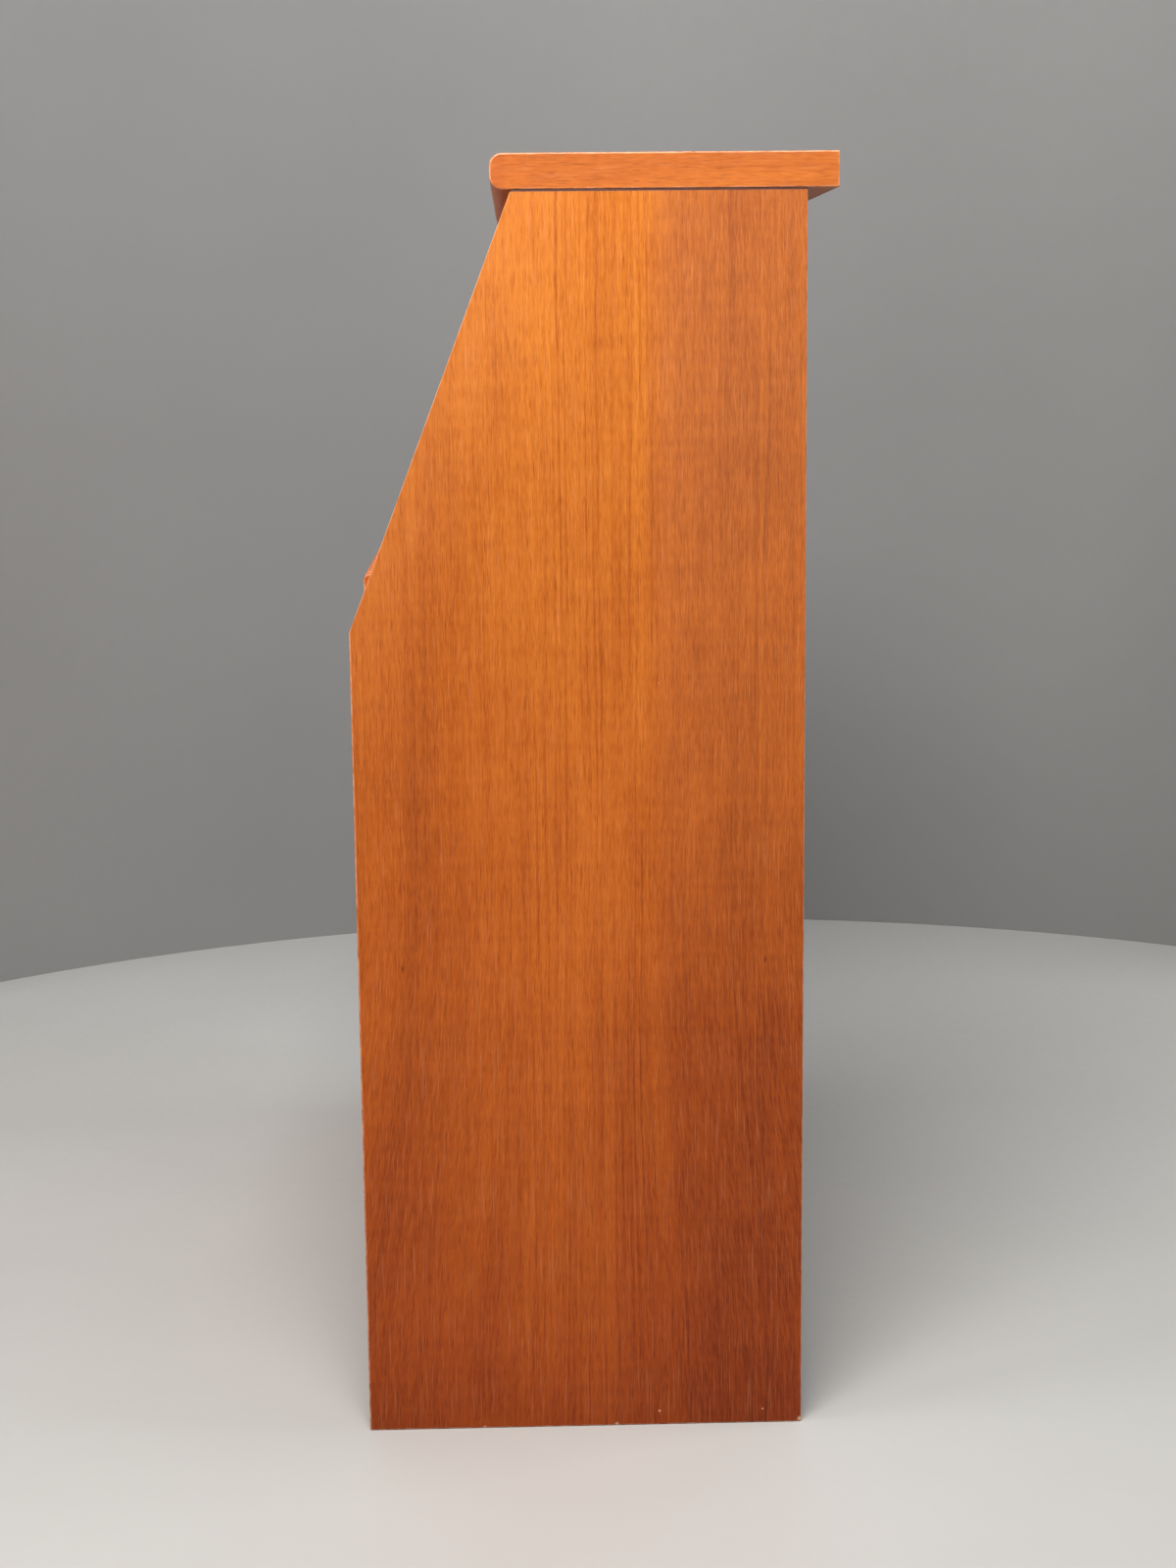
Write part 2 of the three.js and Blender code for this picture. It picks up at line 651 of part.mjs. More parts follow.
addCarcass();
addArms();
addFallFront();
addHinges();
addStrikePlate();
addGallery();
addLongDrawers();

export default desk;
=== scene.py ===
import json
import math

import bmesh
import bpy
from mathutils import Matrix, Vector


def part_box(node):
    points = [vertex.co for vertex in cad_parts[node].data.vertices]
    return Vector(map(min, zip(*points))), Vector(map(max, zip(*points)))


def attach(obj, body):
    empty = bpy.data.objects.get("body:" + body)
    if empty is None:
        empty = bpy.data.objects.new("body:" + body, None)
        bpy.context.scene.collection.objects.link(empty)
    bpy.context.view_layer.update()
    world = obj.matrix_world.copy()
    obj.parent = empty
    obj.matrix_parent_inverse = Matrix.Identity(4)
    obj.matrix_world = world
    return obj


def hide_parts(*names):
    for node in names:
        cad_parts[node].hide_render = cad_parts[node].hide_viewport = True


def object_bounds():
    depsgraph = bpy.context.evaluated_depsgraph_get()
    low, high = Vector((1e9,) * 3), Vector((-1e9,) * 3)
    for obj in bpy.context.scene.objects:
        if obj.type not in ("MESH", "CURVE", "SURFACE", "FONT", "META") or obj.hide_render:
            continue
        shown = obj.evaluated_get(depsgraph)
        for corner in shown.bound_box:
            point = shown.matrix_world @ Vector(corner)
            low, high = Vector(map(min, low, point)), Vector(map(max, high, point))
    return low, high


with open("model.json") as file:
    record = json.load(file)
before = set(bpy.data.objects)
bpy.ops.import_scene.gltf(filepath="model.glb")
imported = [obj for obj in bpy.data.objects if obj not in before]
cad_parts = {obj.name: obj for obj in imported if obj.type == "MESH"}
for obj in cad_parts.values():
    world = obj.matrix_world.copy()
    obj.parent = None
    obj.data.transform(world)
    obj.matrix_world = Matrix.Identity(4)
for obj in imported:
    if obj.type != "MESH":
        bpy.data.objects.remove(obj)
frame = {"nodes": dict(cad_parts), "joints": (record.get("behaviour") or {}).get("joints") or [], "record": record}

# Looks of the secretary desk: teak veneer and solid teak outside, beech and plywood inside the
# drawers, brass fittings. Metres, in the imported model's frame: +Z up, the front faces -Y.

NODES = frame["nodes"]
BODIES = frame["record"]["behaviour"]["bodies"]
BODY_OF = {node: body for body, members in BODIES.items() for node in members}
MM = 0.001
CAD_LOW, CAD_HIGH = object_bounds()
scene = bpy.context.scene

# ---------------------------------------------------------------- camera

SENSOR = 36.0
LENS = 57.18
CAMERA_FROM_SIDE = 2.0003       # from the right-hand side panel's face, along +X
CAMERA_BEHIND_FRONT = 0.1386    # from the side panels' front edges, along +Y
CAMERA_HEIGHT = 0.9212
CAMERA_YAW, CAMERA_PITCH, CAMERA_ROLL = 1.518, 10.268, -0.565


def make_camera():
    data = bpy.data.cameras.new("camera")
    data.sensor_width = SENSOR
    data.lens = LENS
    data.clip_start, data.clip_end = 0.05, 60
    camera = bpy.data.objects.new("camera", data)
    scene.collection.objects.link(camera)
    yaw, pitch, roll = (math.radians(a) for a in (CAMERA_YAW, CAMERA_PITCH, CAMERA_ROLL))
    level = Vector((-math.cos(yaw), math.sin(yaw), 0))
    side = Vector((math.sin(yaw), math.cos(yaw), 0))
    up = Vector((0, 0, 1))
    ahead = math.cos(pitch) * level - math.sin(pitch) * up
    above = math.sin(pitch) * level + math.cos(pitch) * up
    right = math.cos(roll) * side + math.sin(roll) * above
    top = -math.sin(roll) * side + math.cos(roll) * above
    turn = Matrix((right, top, -ahead)).transposed().to_4x4()
    place = Vector((
        CAD_HIGH.x + CAMERA_FROM_SIDE,
        CAD_LOW.y + CAMERA_BEHIND_FRONT,
        CAMERA_HEIGHT,
    ))
    camera.matrix_world = Matrix.Translation(place) @ turn
    scene.camera = camera


make_camera()

# ---------------------------------------------------------------- node material helper


class Shader:
    """Builds a node tree: every call adds one node and returns its first output."""

    def __init__(self, name):
        self.material = bpy.data.materials.new(name)
        self.material.use_nodes = True
        self.tree = self.material.node_tree
        self.tree.nodes.clear()

    def add(self, kind, inputs=None, output=0, **settings):
        node = self.tree.nodes.new(kind)
        for key, value in settings.items():
            setattr(node, key, value)
        for key, value in (inputs or {}).items():
            self.put(node.inputs[key], value)
        return node.outputs[output] if node.outputs else node

    def put(self, socket, value):
        if isinstance(value, bpy.types.NodeSocket):
            self.tree.links.new(value, socket)
        elif hasattr(socket.default_value, "__len__") and len(socket.default_value) == 4:
            socket.default_value = (*value[:3], 1.0)
        else:
            socket.default_value = value

    def math(self, operation, a, b=0.0):
        return self.add("ShaderNodeMath", {0: a, 1: b}, operation=operation)

    def plus(self, a, b):
        return self.math("ADD", a, b)

    def minus(self, a, b):
        return self.math("SUBTRACT", a, b)

    def times(self, a, b):
        return self.math("MULTIPLY", a, b)

    def vector(self, operation, a, b):
        return self.add("ShaderNodeVectorMath", {0: a, 1: b}, operation=operation)

    def combine(self, x, y, z):
        return self.add("ShaderNodeCombineXYZ", {0: x, 1: y, 2: z})

    def split(self, vector):
        node = self.tree.nodes.new("ShaderNodeSeparateXYZ")
        self.put(node.inputs[0], vector)
        return tuple(node.outputs)

    def noise(self, vector, stretch, detail=2.0, rough=0.5):
        place = self.vector("MULTIPLY", vector, stretch)
        inputs = {"Vector": place, "Scale": 1.0, "Detail": detail, "Roughness": rough}
        return self.add("ShaderNodeTexNoise", inputs)

    def scaled(self, value, low, high, to_low=0.0, to_high=1.0, smooth=False):
        kind = "SMOOTHSTEP" if smooth else "LINEAR"
        inputs = {0: value, 1: low, 2: high, 3: to_low, 4: to_high}
        return self.add("ShaderNodeMapRange", inputs, interpolation_type=kind, clamp=True)

    def mix(self, factor, a, b, blend="MIX"):
        node = self.tree.nodes.new("ShaderNodeMix")
        node.data_type = "RGBA"
        node.blend_type = blend
        self.put(node.inputs[0], factor)
        self.put(node.inputs[6], a)
        self.put(node.inputs[7], b)
        return node.outputs[2]

    def ramp(self, factor, stops):
        node = self.tree.nodes.new("ShaderNodeValToRGB")
        self.put(node.inputs[0], factor)
        elements = node.color_ramp.elements
        while len(elements) < len(stops):
            elements.new(0.5)
        for element, (position, color) in zip(elements, stops):
            element.position = position
            element.color = (*color, 1.0)
        return node.outputs[0]

    def bump(self, height, strength, distance):
        inputs = {"Height": height, "Strength": strength, "Distance": distance}
        return self.add("ShaderNodeBump", inputs)

    def finish(self, inputs):
        surface = self.add("ShaderNodeBsdfPrincipled", inputs)
        self.add("ShaderNodeOutputMaterial", {"Surface": surface})
        return self.material


# ---------------------------------------------------------------- wood

# The paler rub tone stands for wear on the arrises and for a painted highlight on them
TEAK = {
    "dark": (0.25, 0.048, 0.008), "mid": (0.44, 0.104, 0.0125), "light": (0.6, 0.172, 0.021),
    "pore": (0.16, 0.026, 0.005), "fleck": (0.72, 0.29, 0.13), "rub_sheen": (0.88, 0.47, 0.31),
    "gloss": 0.4, "specular": 0.2,
}
SIDE_TEAK = dict(
    TEAK, dark=(0.26, 0.0545, 0.01), mid=(0.458, 0.1195, 0.0156), light=(0.624, 0.196, 0.0262),
)
SOLID_TEAK = dict(
    TEAK, dark=(0.235, 0.043, 0.008), mid=(0.42, 0.094, 0.0125), light=(0.56, 0.155, 0.022),
)
BEECH = {
    "dark": (0.42, 0.235, 0.105), "mid": (0.55, 0.34, 0.17), "light": (0.63, 0.42, 0.23),
    "pore": (0.33, 0.17, 0.075), "fleck": (0.6, 0.38, 0.2), "rub_sheen": (0.6, 0.38, 0.2),
    "gloss": 0.5, "specular": 0.35,
}
PLYWOOD = dict(
    BEECH, dark=(0.44, 0.27, 0.12), mid=(0.56, 0.38, 0.2), light=(0.63, 0.45, 0.26), gloss=0.55,
)
BACK_BOARD = dict(
    BEECH, dark=(0.11, 0.048, 0.02), mid=(0.17, 0.08, 0.033), light=(0.235, 0.12, 0.052),
    pore=(0.06, 0.025, 0.01), fleck=(0.3, 0.17, 0.09), gloss=0.6,
    inner=((0.2, 0.05, 0.012), (0.34, 0.095, 0.02), (0.46, 0.15, 0.035)),
)
TONES = {
    "teak": TEAK, "side": SIDE_TEAK, "solid": SOLID_TEAK, "beech": BEECH, "ply": PLYWOOD,
    "back": BACK_BOARD,
}
ACROSS = {"x": (1, 2, 0), "y": (2, 0, 1), "z": (0, 1, 2)}
END_FACE = 0.8
END_PALENESS = 0.1
FAN, FAN_TOP = 0.28, 0.5

# How often the grain changes per metre, twice across it and once along it
SWAY = (2.5, 2.5, 1.1)
BROAD = (16, 16, 0.5)
BANDS = (120, 120, 1.5)
FINE_BANDS = (420, 420, 4)
FIBRES = (900, 900, 85)
CLOUDS = (26, 26, 8)
RIPPLE = (16, 16, 120)
PORES = (1500, 1500, 62)
PALE_FIBRES = (1300, 1300, 30)
RUB_SHEEN_SPOTS = (160, 160, 90)
RING_GROUPS = (24, 24, 0.3)
RING_FADE = (17, 17, 1.6)
RING_COUNT = 230.0
# How much of the paler rub tone an arris takes: wear and painted highlight together
WEAR_SHEEN_AMOUNT = 0.65


def grain_space(s, grain, fan=False):
    """
    Object coordinates with the grain running along the last one, shifted piece by piece.
    On a board that runs along x, the ends are edged with a strip whose grain runs along y.
    fan spreads the grain of an upright panel towards its foot.
    """
    place = s.add("ShaderNodeTexCoord", output=3)
    run = place
    if fan:
        x, y, z = s.split(place)
        spread = s.scaled(z, FAN_TOP, 0.0, 1.0, 1.0 - FAN, smooth=True)
        run = s.combine(x, s.times(y, spread), z)
    shift = s.add(
        "ShaderNodeAttribute", output=2, attribute_type="OBJECT", attribute_name="shift",
    )
    parts = s.split(s.vector("ADD", run, s.combine(shift, shift, shift)))
    space = s.combine(*(parts[i] for i in ACROSS[grain]))
    at_end = 0.0
    if grain == "x":
        facing = s.split(s.add("ShaderNodeTexCoord", output=1))[0]
        at_end = s.math("GREATER_THAN", s.math("ABSOLUTE", facing), END_FACE)
        strip = s.combine(*(parts[i] for i in ACROSS["y"]))
        change = s.vector("SUBTRACT", strip, space)
        change = s.vector("MULTIPLY", change, s.combine(at_end, at_end, at_end))
        space = s.vector("ADD", space, change)
    return space, s.split(place), at_end


def growth_lines(s, space):
    """Thin dark late-wood lines, in pairs and groups that come and go across the board."""
    rings = s.noise(space, RING_GROUPS, 2.0, 0.55)
    wave = s.math("SINE", s.times(rings, RING_COUNT))
    line = s.scaled(wave, 0.55, 1.0, smooth=True)
    fade = s.scaled(s.noise(space, RING_FADE, 1.0), 0.42, 0.66)
    return s.times(line, fade)


def figure(s, space, fibres, side):
    """A board's figure as one tone round 0.5: broad drift, bands, fibres, clouds and ripple."""
    layers = (
        (s.noise(space, BROAD, 2.0), 0.28 if side else 0.4),
        (s.noise(space, BANDS, 2.0), 0.24),
        (s.noise(space, FINE_BANDS, 2.0, 0.6), 0.3),
        (fibres, 0.72),
        (s.noise(space, CLOUDS, 2.0, 0.6), 0.3),
        (s.noise(space, RIPPLE, 1.0, 0.5), 0.14),
    )
    value = 0.5
    for layer, weight in layers:
        value = s.plus(s.times(s.minus(layer, 0.5), weight), value)
    ring_depth = 0.09 if side else 0.17
    return s.minus(value, s.times(growth_lines(s, space), ring_depth))


def toned(s, value, dark, mid, light):
    """A tone as a colour: 0.5 is the middle one."""
    return s.ramp(value, ((0.15, dark), (0.5, mid), (0.85, light)))


def wood(name, tones, grain, edge_wear_sheen, side):
    """Straight-grained wood. The wear flag is for a rounded edge, paler from wear and from a painted highlight;
    side adds a veneer's own marks and the side panels' painted shade and light.
    """
    s = Shader(name)
    space, place, at_end = grain_space(s, grain, side)
    sway = s.times(s.minus(s.noise(space, SWAY, 1.0), 0.5), 0.03)
    space = s.vector("ADD", space, s.combine(sway, sway, 0.0))
    fibres = s.noise(space, FIBRES, 3.0, 0.62)
    value = figure(s, space, fibres, side)
    if side:
        value = s.plus(value, side_leaf(s, place))
    color = toned(s, value, tones["dark"], tones["mid"], tones["light"])
    if grain == "x":
        color = s.mix(s.times(at_end, END_PALENESS), color, tones["fleck"])
    if "inner" in tones:
        facing = s.split(s.add("ShaderNodeTexCoord", output=1))[1]
        inside = s.math("LESS_THAN", facing, -END_FACE)
        color = s.mix(inside, color, toned(s, value, *tones["inner"]))
    deep = s.scaled(s.noise(space, PORES, 1.0, 0.5), 0.6, 0.74)
    color = s.mix(s.times(deep, 0.5), color, tones["pore"])
    pale = s.scaled(s.noise(space, PALE_FIBRES, 1.0), 0.6, 0.74)
    color = s.mix(s.times(pale, 0.26), color, tones["fleck"])
    if side:
        color = side_painted_light_and_marks(s, color, place)
    # Painted highlight together with wear: the arris turns towards the paler rub tone in spots
    if edge_wear_sheen:
        rub_sheen_mask = s.scaled(s.noise(space, RUB_SHEEN_SPOTS, 3.0, 0.7), 0.3, 0.75)
        color = s.mix(s.times(rub_sheen_mask, WEAR_SHEEN_AMOUNT), color, tones["rub_sheen"])
    if side:
        color = side_edges(s, color, place)
    grooves = s.minus(s.times(fibres, 0.6), deep)
    gloss = tones["gloss"]
    return s.finish({
        "Base Color": color,
        "Roughness": s.scaled(fibres, 0.3, 0.7, gloss - 0.05, gloss + 0.07),
        "Normal": s.bump(grooves, 0.35, 0.00012),
        "Specular IOR Level": tones["specular"],
    })


# The side panels' veneer: how strong its broad tones are, and where its marks lie. The bright front is a painted
# band of light.
BRIGHT_MIDDLE, DARK_REAR, DARK_STEP = 0.17, 0.05, 0.09
STRIPE_DEPTH, PAINTED_FRONT_LIGHT, SEAM_DEPTH = 0.16, 0.09, 0.15
SEAM_Y = 0.0125
SEAM_TOP = 0.6
STEP_Y = 0.041
STRIPE_PITCH = 0.0068
# Single growth lines: y, width, depth of tone
SIDE_LINES = (
    (-0.0305, 0.0013, 0.13), (-0.0252, 0.0019, 0.2), (-0.0204, 0.0012, 0.12),
    (0.0004, 0.0015, 0.15), (0.0046, 0.0019, 0.2), (0.0285, 0.0013, 0.1), (-0.071, 0.0012, 0.11),
    (-0.108, 0.0012, 0.08), (0.1345, 0.0014, -0.16),
)
# Dark flecks and a pale speck: y, z. Pale chips at the foot: y, z, radius
SIDE_FLECKS = ((-0.16, 0.4055), (0.14, 0.409))
SIDE_SPECK = (0.0527, 0.641)
SIDE_CHIPS = (
    (-0.099, 0.001, 0.0016), (0.014, 0.0015, 0.002), (0.0505, 0.0125, 0.0013),
    (0.139, 0.0125, 0.001), (0.1715, 0.0025, 0.0034),
)
PANEL_LOW, PANEL_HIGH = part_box("side_panel_right")
JOINT_Z = PANEL_HIGH.z
CORNER_Z, SLOPE_RUN = 0.6845, 0.1355
# Painted sheen: pale streaks in the pores, low on the side panels
PAINTED_PORE_SHEEN = (0.56, 0.2, 0.09)
# Painted shadow for the joint line under the top slab
PAINTED_JOINT_SHADOW = (0.055, 0.012, 0.005)
CHIP_TONE = (0.66, 0.42, 0.26)


def side_leaf(s, place):
    """The broad tones of the side panels' veneer: a bright middle, a deeper-toned rear, growth lines, and a
    painted paler band of light along the front edge.
    """
    flat = s.combine(0.0, place[1], place[2])
    bend = s.times(s.minus(s.noise(flat, (1, 5, 1.2), 1.0), 0.5), 0.05)
    y = s.plus(place[1], bend)
    rise = s.scaled(y, -0.15, -0.03, smooth=True)
    bright = s.times(rise, s.scaled(y, 0.07, 0.02, smooth=True))
    rear = s.scaled(y, 0.03, 0.15, smooth=True)
    tone = s.minus(s.times(bright, BRIGHT_MIDDLE), s.times(rear, DARK_REAR))
    step = s.times(s.scaled(y, STEP_Y, STEP_Y + 0.005), s.scaled(place[2], 0.6, 0.8))
    tone = s.minus(tone, s.times(step, DARK_STEP))
    tone = s.minus(tone, s.times(side_stripes(s, place), STRIPE_DEPTH))
    # Painted light: a brighter band along the upper front edge
    tone = s.plus(tone, s.times(front_light_band(s, place), PAINTED_FRONT_LIGHT))
    seam = s.scaled(place[1], SEAM_Y, SEAM_Y + 0.001)
    low = s.scaled(place[2], SEAM_TOP, SEAM_TOP - 0.35, smooth=True)
    tone = s.minus(tone, s.times(s.times(seam, low), SEAM_DEPTH))
    wobble = s.times(s.minus(s.noise(flat, (1, 9, 2.4), 2.0), 0.5), 0.014)
    fade = s.scaled(s.noise(s.combine(*place), (60, 60, 7), 2.0), 0.35, 0.6, 0.3, 1.0)
    for line_y, width, depth in SIDE_LINES:
        off = s.math("ABSOLUTE", s.minus(s.plus(place[1], wobble), line_y))
        line = s.scaled(off, width, 0.0, smooth=True)
        tone = s.minus(tone, s.times(s.times(line, fade), depth))
    return tone


def side_stripes(s, place):
    """Even, soft growth lines, clearest in the middle of a side panel."""
    flat = s.combine(0.0, place[1], place[2])
    bend = s.times(s.minus(s.noise(flat, (1, 22, 1.3), 2.0), 0.5), 0.03)
    phase = s.times(s.plus(place[1], bend), 2 * math.pi / STRIPE_PITCH)
    line = s.scaled(s.math("SINE", phase), 0.2, 1.0, smooth=True)
    from_front = s.scaled(place[1], -0.08, -0.045, 0.3, 1.0)
    from_rear = s.scaled(place[1], 0.06, 0.04, 0.25, 1.0)
    fade = s.scaled(s.noise(flat, (1, 45, 3), 2.0), 0.38, 0.62, 0.15, 1.0)
    return s.times(s.times(line, s.times(from_front, from_rear)), fade)


def front_light_band(s, place):
    """1 along the upper part of a side panel's front edge, fading to 0 across the panel; it places a painted paler
    band of light.
    """
    lean = s.scaled(place[2], CORNER_Z, JOINT_Z, PANEL_LOW.y, PANEL_LOW.y + SLOPE_RUN)
    near = s.scaled(s.minus(place[1], lean), 0.09, 0.0, smooth=True)
    return s.times(near, s.scaled(place[2], 0.5, 0.75, smooth=True))


def spot(s, place, middle_y, middle_z, radius, squeeze=1.0):
    """1 inside a small round mark on a side panel, 0 outside it."""
    reach = s.vector("SUBTRACT", s.combine(0.0, place[1], place[2]), (0.0, middle_y, middle_z))
    reach = s.vector("MULTIPLY", reach, (0.0, 1.0, squeeze))
    length = s.add("ShaderNodeVectorMath", {0: reach}, 1, operation="LENGTH")
    return s.scaled(length, radius, 0.4 * radius)


def side_painted_light_and_marks(s, color, place):
    """Painted shade: redder and deeper in tone towards the floor, most at the foot, where less light falls. Also
    more streaked low down, with the streaks painted as sheen, a painted paler band of light near the front, and a
    few small flecks.
    """
    # Painted shade: redder, then deeper in tone, and deepest near the foot, for the light falling off towards the
    # floor
    painted_shade_redder = s.scaled(place[2], 0.0, 0.92, 1.0, 0.0)
    color = s.mix(painted_shade_redder, color, (0.95, 0.59, 0.38), "MULTIPLY")
    painted_shade_darker = s.scaled(place[2], 0.0, 0.4, 1.0, 0.0)
    color = s.mix(painted_shade_darker, color, (0.78, 0.74, 0.67), "MULTIPLY")
    foot = s.scaled(place[2], 0.0, 0.09, 1.0, 0.0)
    color = s.mix(foot, color, (0.86, 0.83, 0.78), "MULTIPLY")
    # Painted light: the same front band, mixed towards the pale fleck tone
    color = s.mix(s.times(front_light_band(s, place), 0.07), color, TEAK["fleck"])
    behind = s.scaled(place[1], STEP_Y, STEP_Y + 0.02, 0.0, 0.11)
    behind = s.times(behind, s.scaled(place[2], 0.35, 0.85))
    color = s.mix(behind, color, TEAK["fleck"])
    # Painted sheen: pale streaks along the pores, stronger lower down, for light caught in the open pores
    pore_sheen = s.scaled(s.noise(s.combine(*place), (900, 900, 17), 1.0), 0.58, 0.72)
    low = s.scaled(place[2], 0.75, 0.25, smooth=True)
    color = s.mix(s.times(s.times(pore_sheen, low), 0.3), color, PAINTED_PORE_SHEEN)
    for y, z in SIDE_FLECKS:
        fleck = s.times(spot(s, place, y, z, 0.0017, 0.45), 0.65)
        color = s.mix(fleck, color, TEAK["pore"])
    speck = s.times(spot(s, place, *SIDE_SPECK, 0.0009), 0.6)
    return s.mix(speck, color, TEAK["fleck"])


def side_edges(s, color, place):
    """Painted shadow in the joint under the slab, and small pale chips where the panel meets the floor."""
    # Painted shadow: a dark band just under the slab, in the joint's gap
    joint = s.scaled(place[2], JOINT_Z - 0.002, JOINT_Z - 0.0014)
    color = s.mix(joint, color, PAINTED_JOINT_SHADOW)
    for y, z, radius in SIDE_CHIPS:
        color = s.mix(s.times(spot(s, place, y, z, radius), 0.85), color, CHIP_TONE)
    return color


WOODS = {}


def timber(tones, grain, edge_wear_sheen=False):
    """The shared material for one timber, grain direction and wear, the wear's paler edge tone also being a
    painted highlight.
    """
    side = tones == "side"
    key = f"{tones}_{grain}" + ("_edge" if edge_wear_sheen else "") + ("_side" if side else "")
    if key not in WOODS:
        WOODS[key] = wood(key, TONES[tones], grain, edge_wear_sheen, side)
    return WOODS[key]


# ---------------------------------------------------------------- metal


def metal(name, color, rough, tarnish):
    s = Shader(name)
    place = s.add("ShaderNodeTexCoord", output=3)
    cloud = s.noise(place, (90, 90, 90), 4.0, 0.6)
    brushed = s.noise(place, (300, 4000, 4000), 2.0, 0.6)
    specks = s.noise(place, (1400, 1400, 1400), 2.0, 0.6)
    shade = s.mix(s.scaled(cloud, 0.35, 0.7), color, tarnish)
    shade = s.mix(s.scaled(specks, 0.62, 0.75, 0.0, 0.5), shade, tuple(0.5 * c for c in tarnish))
    return s.finish({
        "Base Color": shade,
        "Metallic": 1.0,
        "Roughness": s.scaled(brushed, 0.2, 0.8, rough - 0.06, rough + 0.1),
        "Normal": s.bump(brushed, 0.2, 0.00003),
    })


BRASS = metal("brass", (0.86, 0.6, 0.24), 0.34, (0.6, 0.38, 0.14))
STEEL = metal("steel", (0.56, 0.56, 0.55), 0.3, (0.33, 0.32, 0.3))

# ---------------------------------------------------------------- mesh helpers
# Shapes are drawn in millimetres and scaled when they become a piece. Angles are in degrees.

WELD_DISTANCE = 0.00001
MERGE_DISTANCE = 0.000002
SMOOTH_UNDER = 35


def span(node):
    """A CAD node's limits in millimetres: (x0, x1), (y0, y1), (z0, z1)."""
    low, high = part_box(node)
    return tuple((a / MM, b / MM) for a, b in zip(low, high))


def arc(centre, radius, start, end, steps):
    """Points on an arc round a centre in the outline's plane, between two angles."""
    points = []
    for i in range(steps + 1):
        angle = math.radians(start + (end - start) * i / steps)
        points.append((centre[0] + radius * math.cos(angle), centre[1] + radius * math.sin(angle)))
    return points


def stations(low, high, steps):
    return [low + (high - low) * i / steps for i in range(steps + 1)]


def prism(outline, places, turn=lambda a, b, along: (along, a, b)):
    """An outline run through several places; turn says how a point becomes (x, y, z)."""
    count = len(outline)
    verts = [turn(a, b, along) for along in places for a, b in outline]
    faces = []
    for i in range(len(places) - 1):
        first = i * count
        for j in range(count):
            k = (j + 1) % count
            faces.append((first + j, first + k, first + count + k, first + count + j))
    last = (len(places) - 1) * count
    faces.append(tuple(range(count)))
    faces.append(tuple(last + j for j in range(count)))
    return verts, faces


def block(x, y, z):
    """A box between two limits on each axis."""
    return prism([(y[0], z[0]), (y[1], z[0]), (y[1], z[1]), (y[0], z[1])], x)


def turned(profile, steps, turn=lambda across, up, along: (across, up, along)):
    """A profile of (radius, along) spun round its axis; its first and last radius are 0."""
    verts = []
    for radius, along in profile:
        for i in range(steps):
            angle = 2 * math.pi * i / steps
            verts.append(turn(radius * math.cos(angle), radius * math.sin(angle), along))
    faces = []
    for row in range(len(profile) - 1):
        for i in range(steps):
            k = (i + 1) % steps
            a, b = row * steps, (row + 1) * steps
            faces.append((a + i, a + k, b + k, b + i))
    return verts, faces


def moved(shape, turn):
    verts, faces = shape
    return [turn(*vert) for vert in verts], faces


def make_object(name, shape):
    """A mesh object from a shape, welded, with its faces pointing out."""
    verts, faces = shape
    mesh = bpy.data.meshes.new(name)
    mesh.from_pydata([tuple(MM * c for c in vert) for vert in verts], [], faces)
    grid = bmesh.new()
    grid.from_mesh(mesh)
    bmesh.ops.remove_doubles(grid, verts=grid.verts, dist=MERGE_DISTANCE)
    bmesh.ops.recalc_face_normals(grid, faces=grid.faces)
    grid.to_mesh(mesh)
    grid.free()
    made = bpy.data.objects.new(name, mesh)
    scene.collection.objects.link(made)
    return made


def discard(piece):
    """Removes an object and its mesh."""
    mesh = piece.data
    bpy.data.objects.remove(piece)
    bpy.data.meshes.remove(mesh)


def settle(piece):
    """Keeps a piece's modified mesh as its mesh."""
    bpy.context.view_layer.update()
    graph = bpy.context.evaluated_depsgraph_get()
    mesh = bpy.data.meshes.new_from_object(piece.evaluated_get(graph))
    plain = piece.data
    piece.modifiers.clear()
    piece.data = mesh
    bpy.data.meshes.remove(plain)


def combine_shapes(piece, shapes, operation):
    """Cuts shapes out of a piece (DIFFERENCE) or joins them to it (UNION)."""
    tools = [make_object(f"{piece.name}_tool", shape) for shape in shapes]
    for tool in tools:
        step = piece.modifiers.new("combine", "BOOLEAN")
        step.object = tool
        step.operation = operation
        step.solver = "MANIFOLD"
    settle(piece)
    for tool in tools:
        discard(tool)


def cut(piece, *shapes):
    combine_shapes(piece, shapes, "DIFFERENCE")


def join(piece, *shapes):
    combine_shapes(piece, shapes, "UNION")


def round_arrises(piece, width, segments=3, only=None, steeper_than=40):
    """Rounds the edges sharper than an angle, or just those whose two ends (mm) pass a test."""
    bevel = piece.modifiers.new("arris", "BEVEL")
    bevel.width = width * MM
    bevel.segments = segments
    bevel.material = len(piece.data.materials) - 1
    bevel.use_clamp_overlap = False
    if only is None:
        bevel.limit_method = "ANGLE"
        bevel.angle_limit = math.radians(steeper_than)
    else:
        bevel.limit_method = "WEIGHT"
        mesh = piece.data
        weights = mesh.attributes.new("bevel_weight_edge", "FLOAT", "EDGE")
        for edge in mesh.edges:
            ends = [mesh.vertices[i].co / MM for i in edge.vertices]
            weights.data[edge.index].value = 1.0 if only(*ends) else 0.0


def finish_piece(piece, body, stands_for=(), shift=None):
    """Smooth shading with crisp edges, then the body it rides on and what it stands for."""
    piece.data.shade_smooth()
    piece.data.set_sharp_from_angle(angle=math.radians(SMOOTH_UNDER))
    level = piece.modifiers.new("shading", "WEIGHTED_NORMAL")
    level.keep_sharp = True
    piece["shift"] = grain_shift(piece.name) if shift is None else shift
    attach(piece, body)
    if stands_for:
        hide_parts(*stands_for)


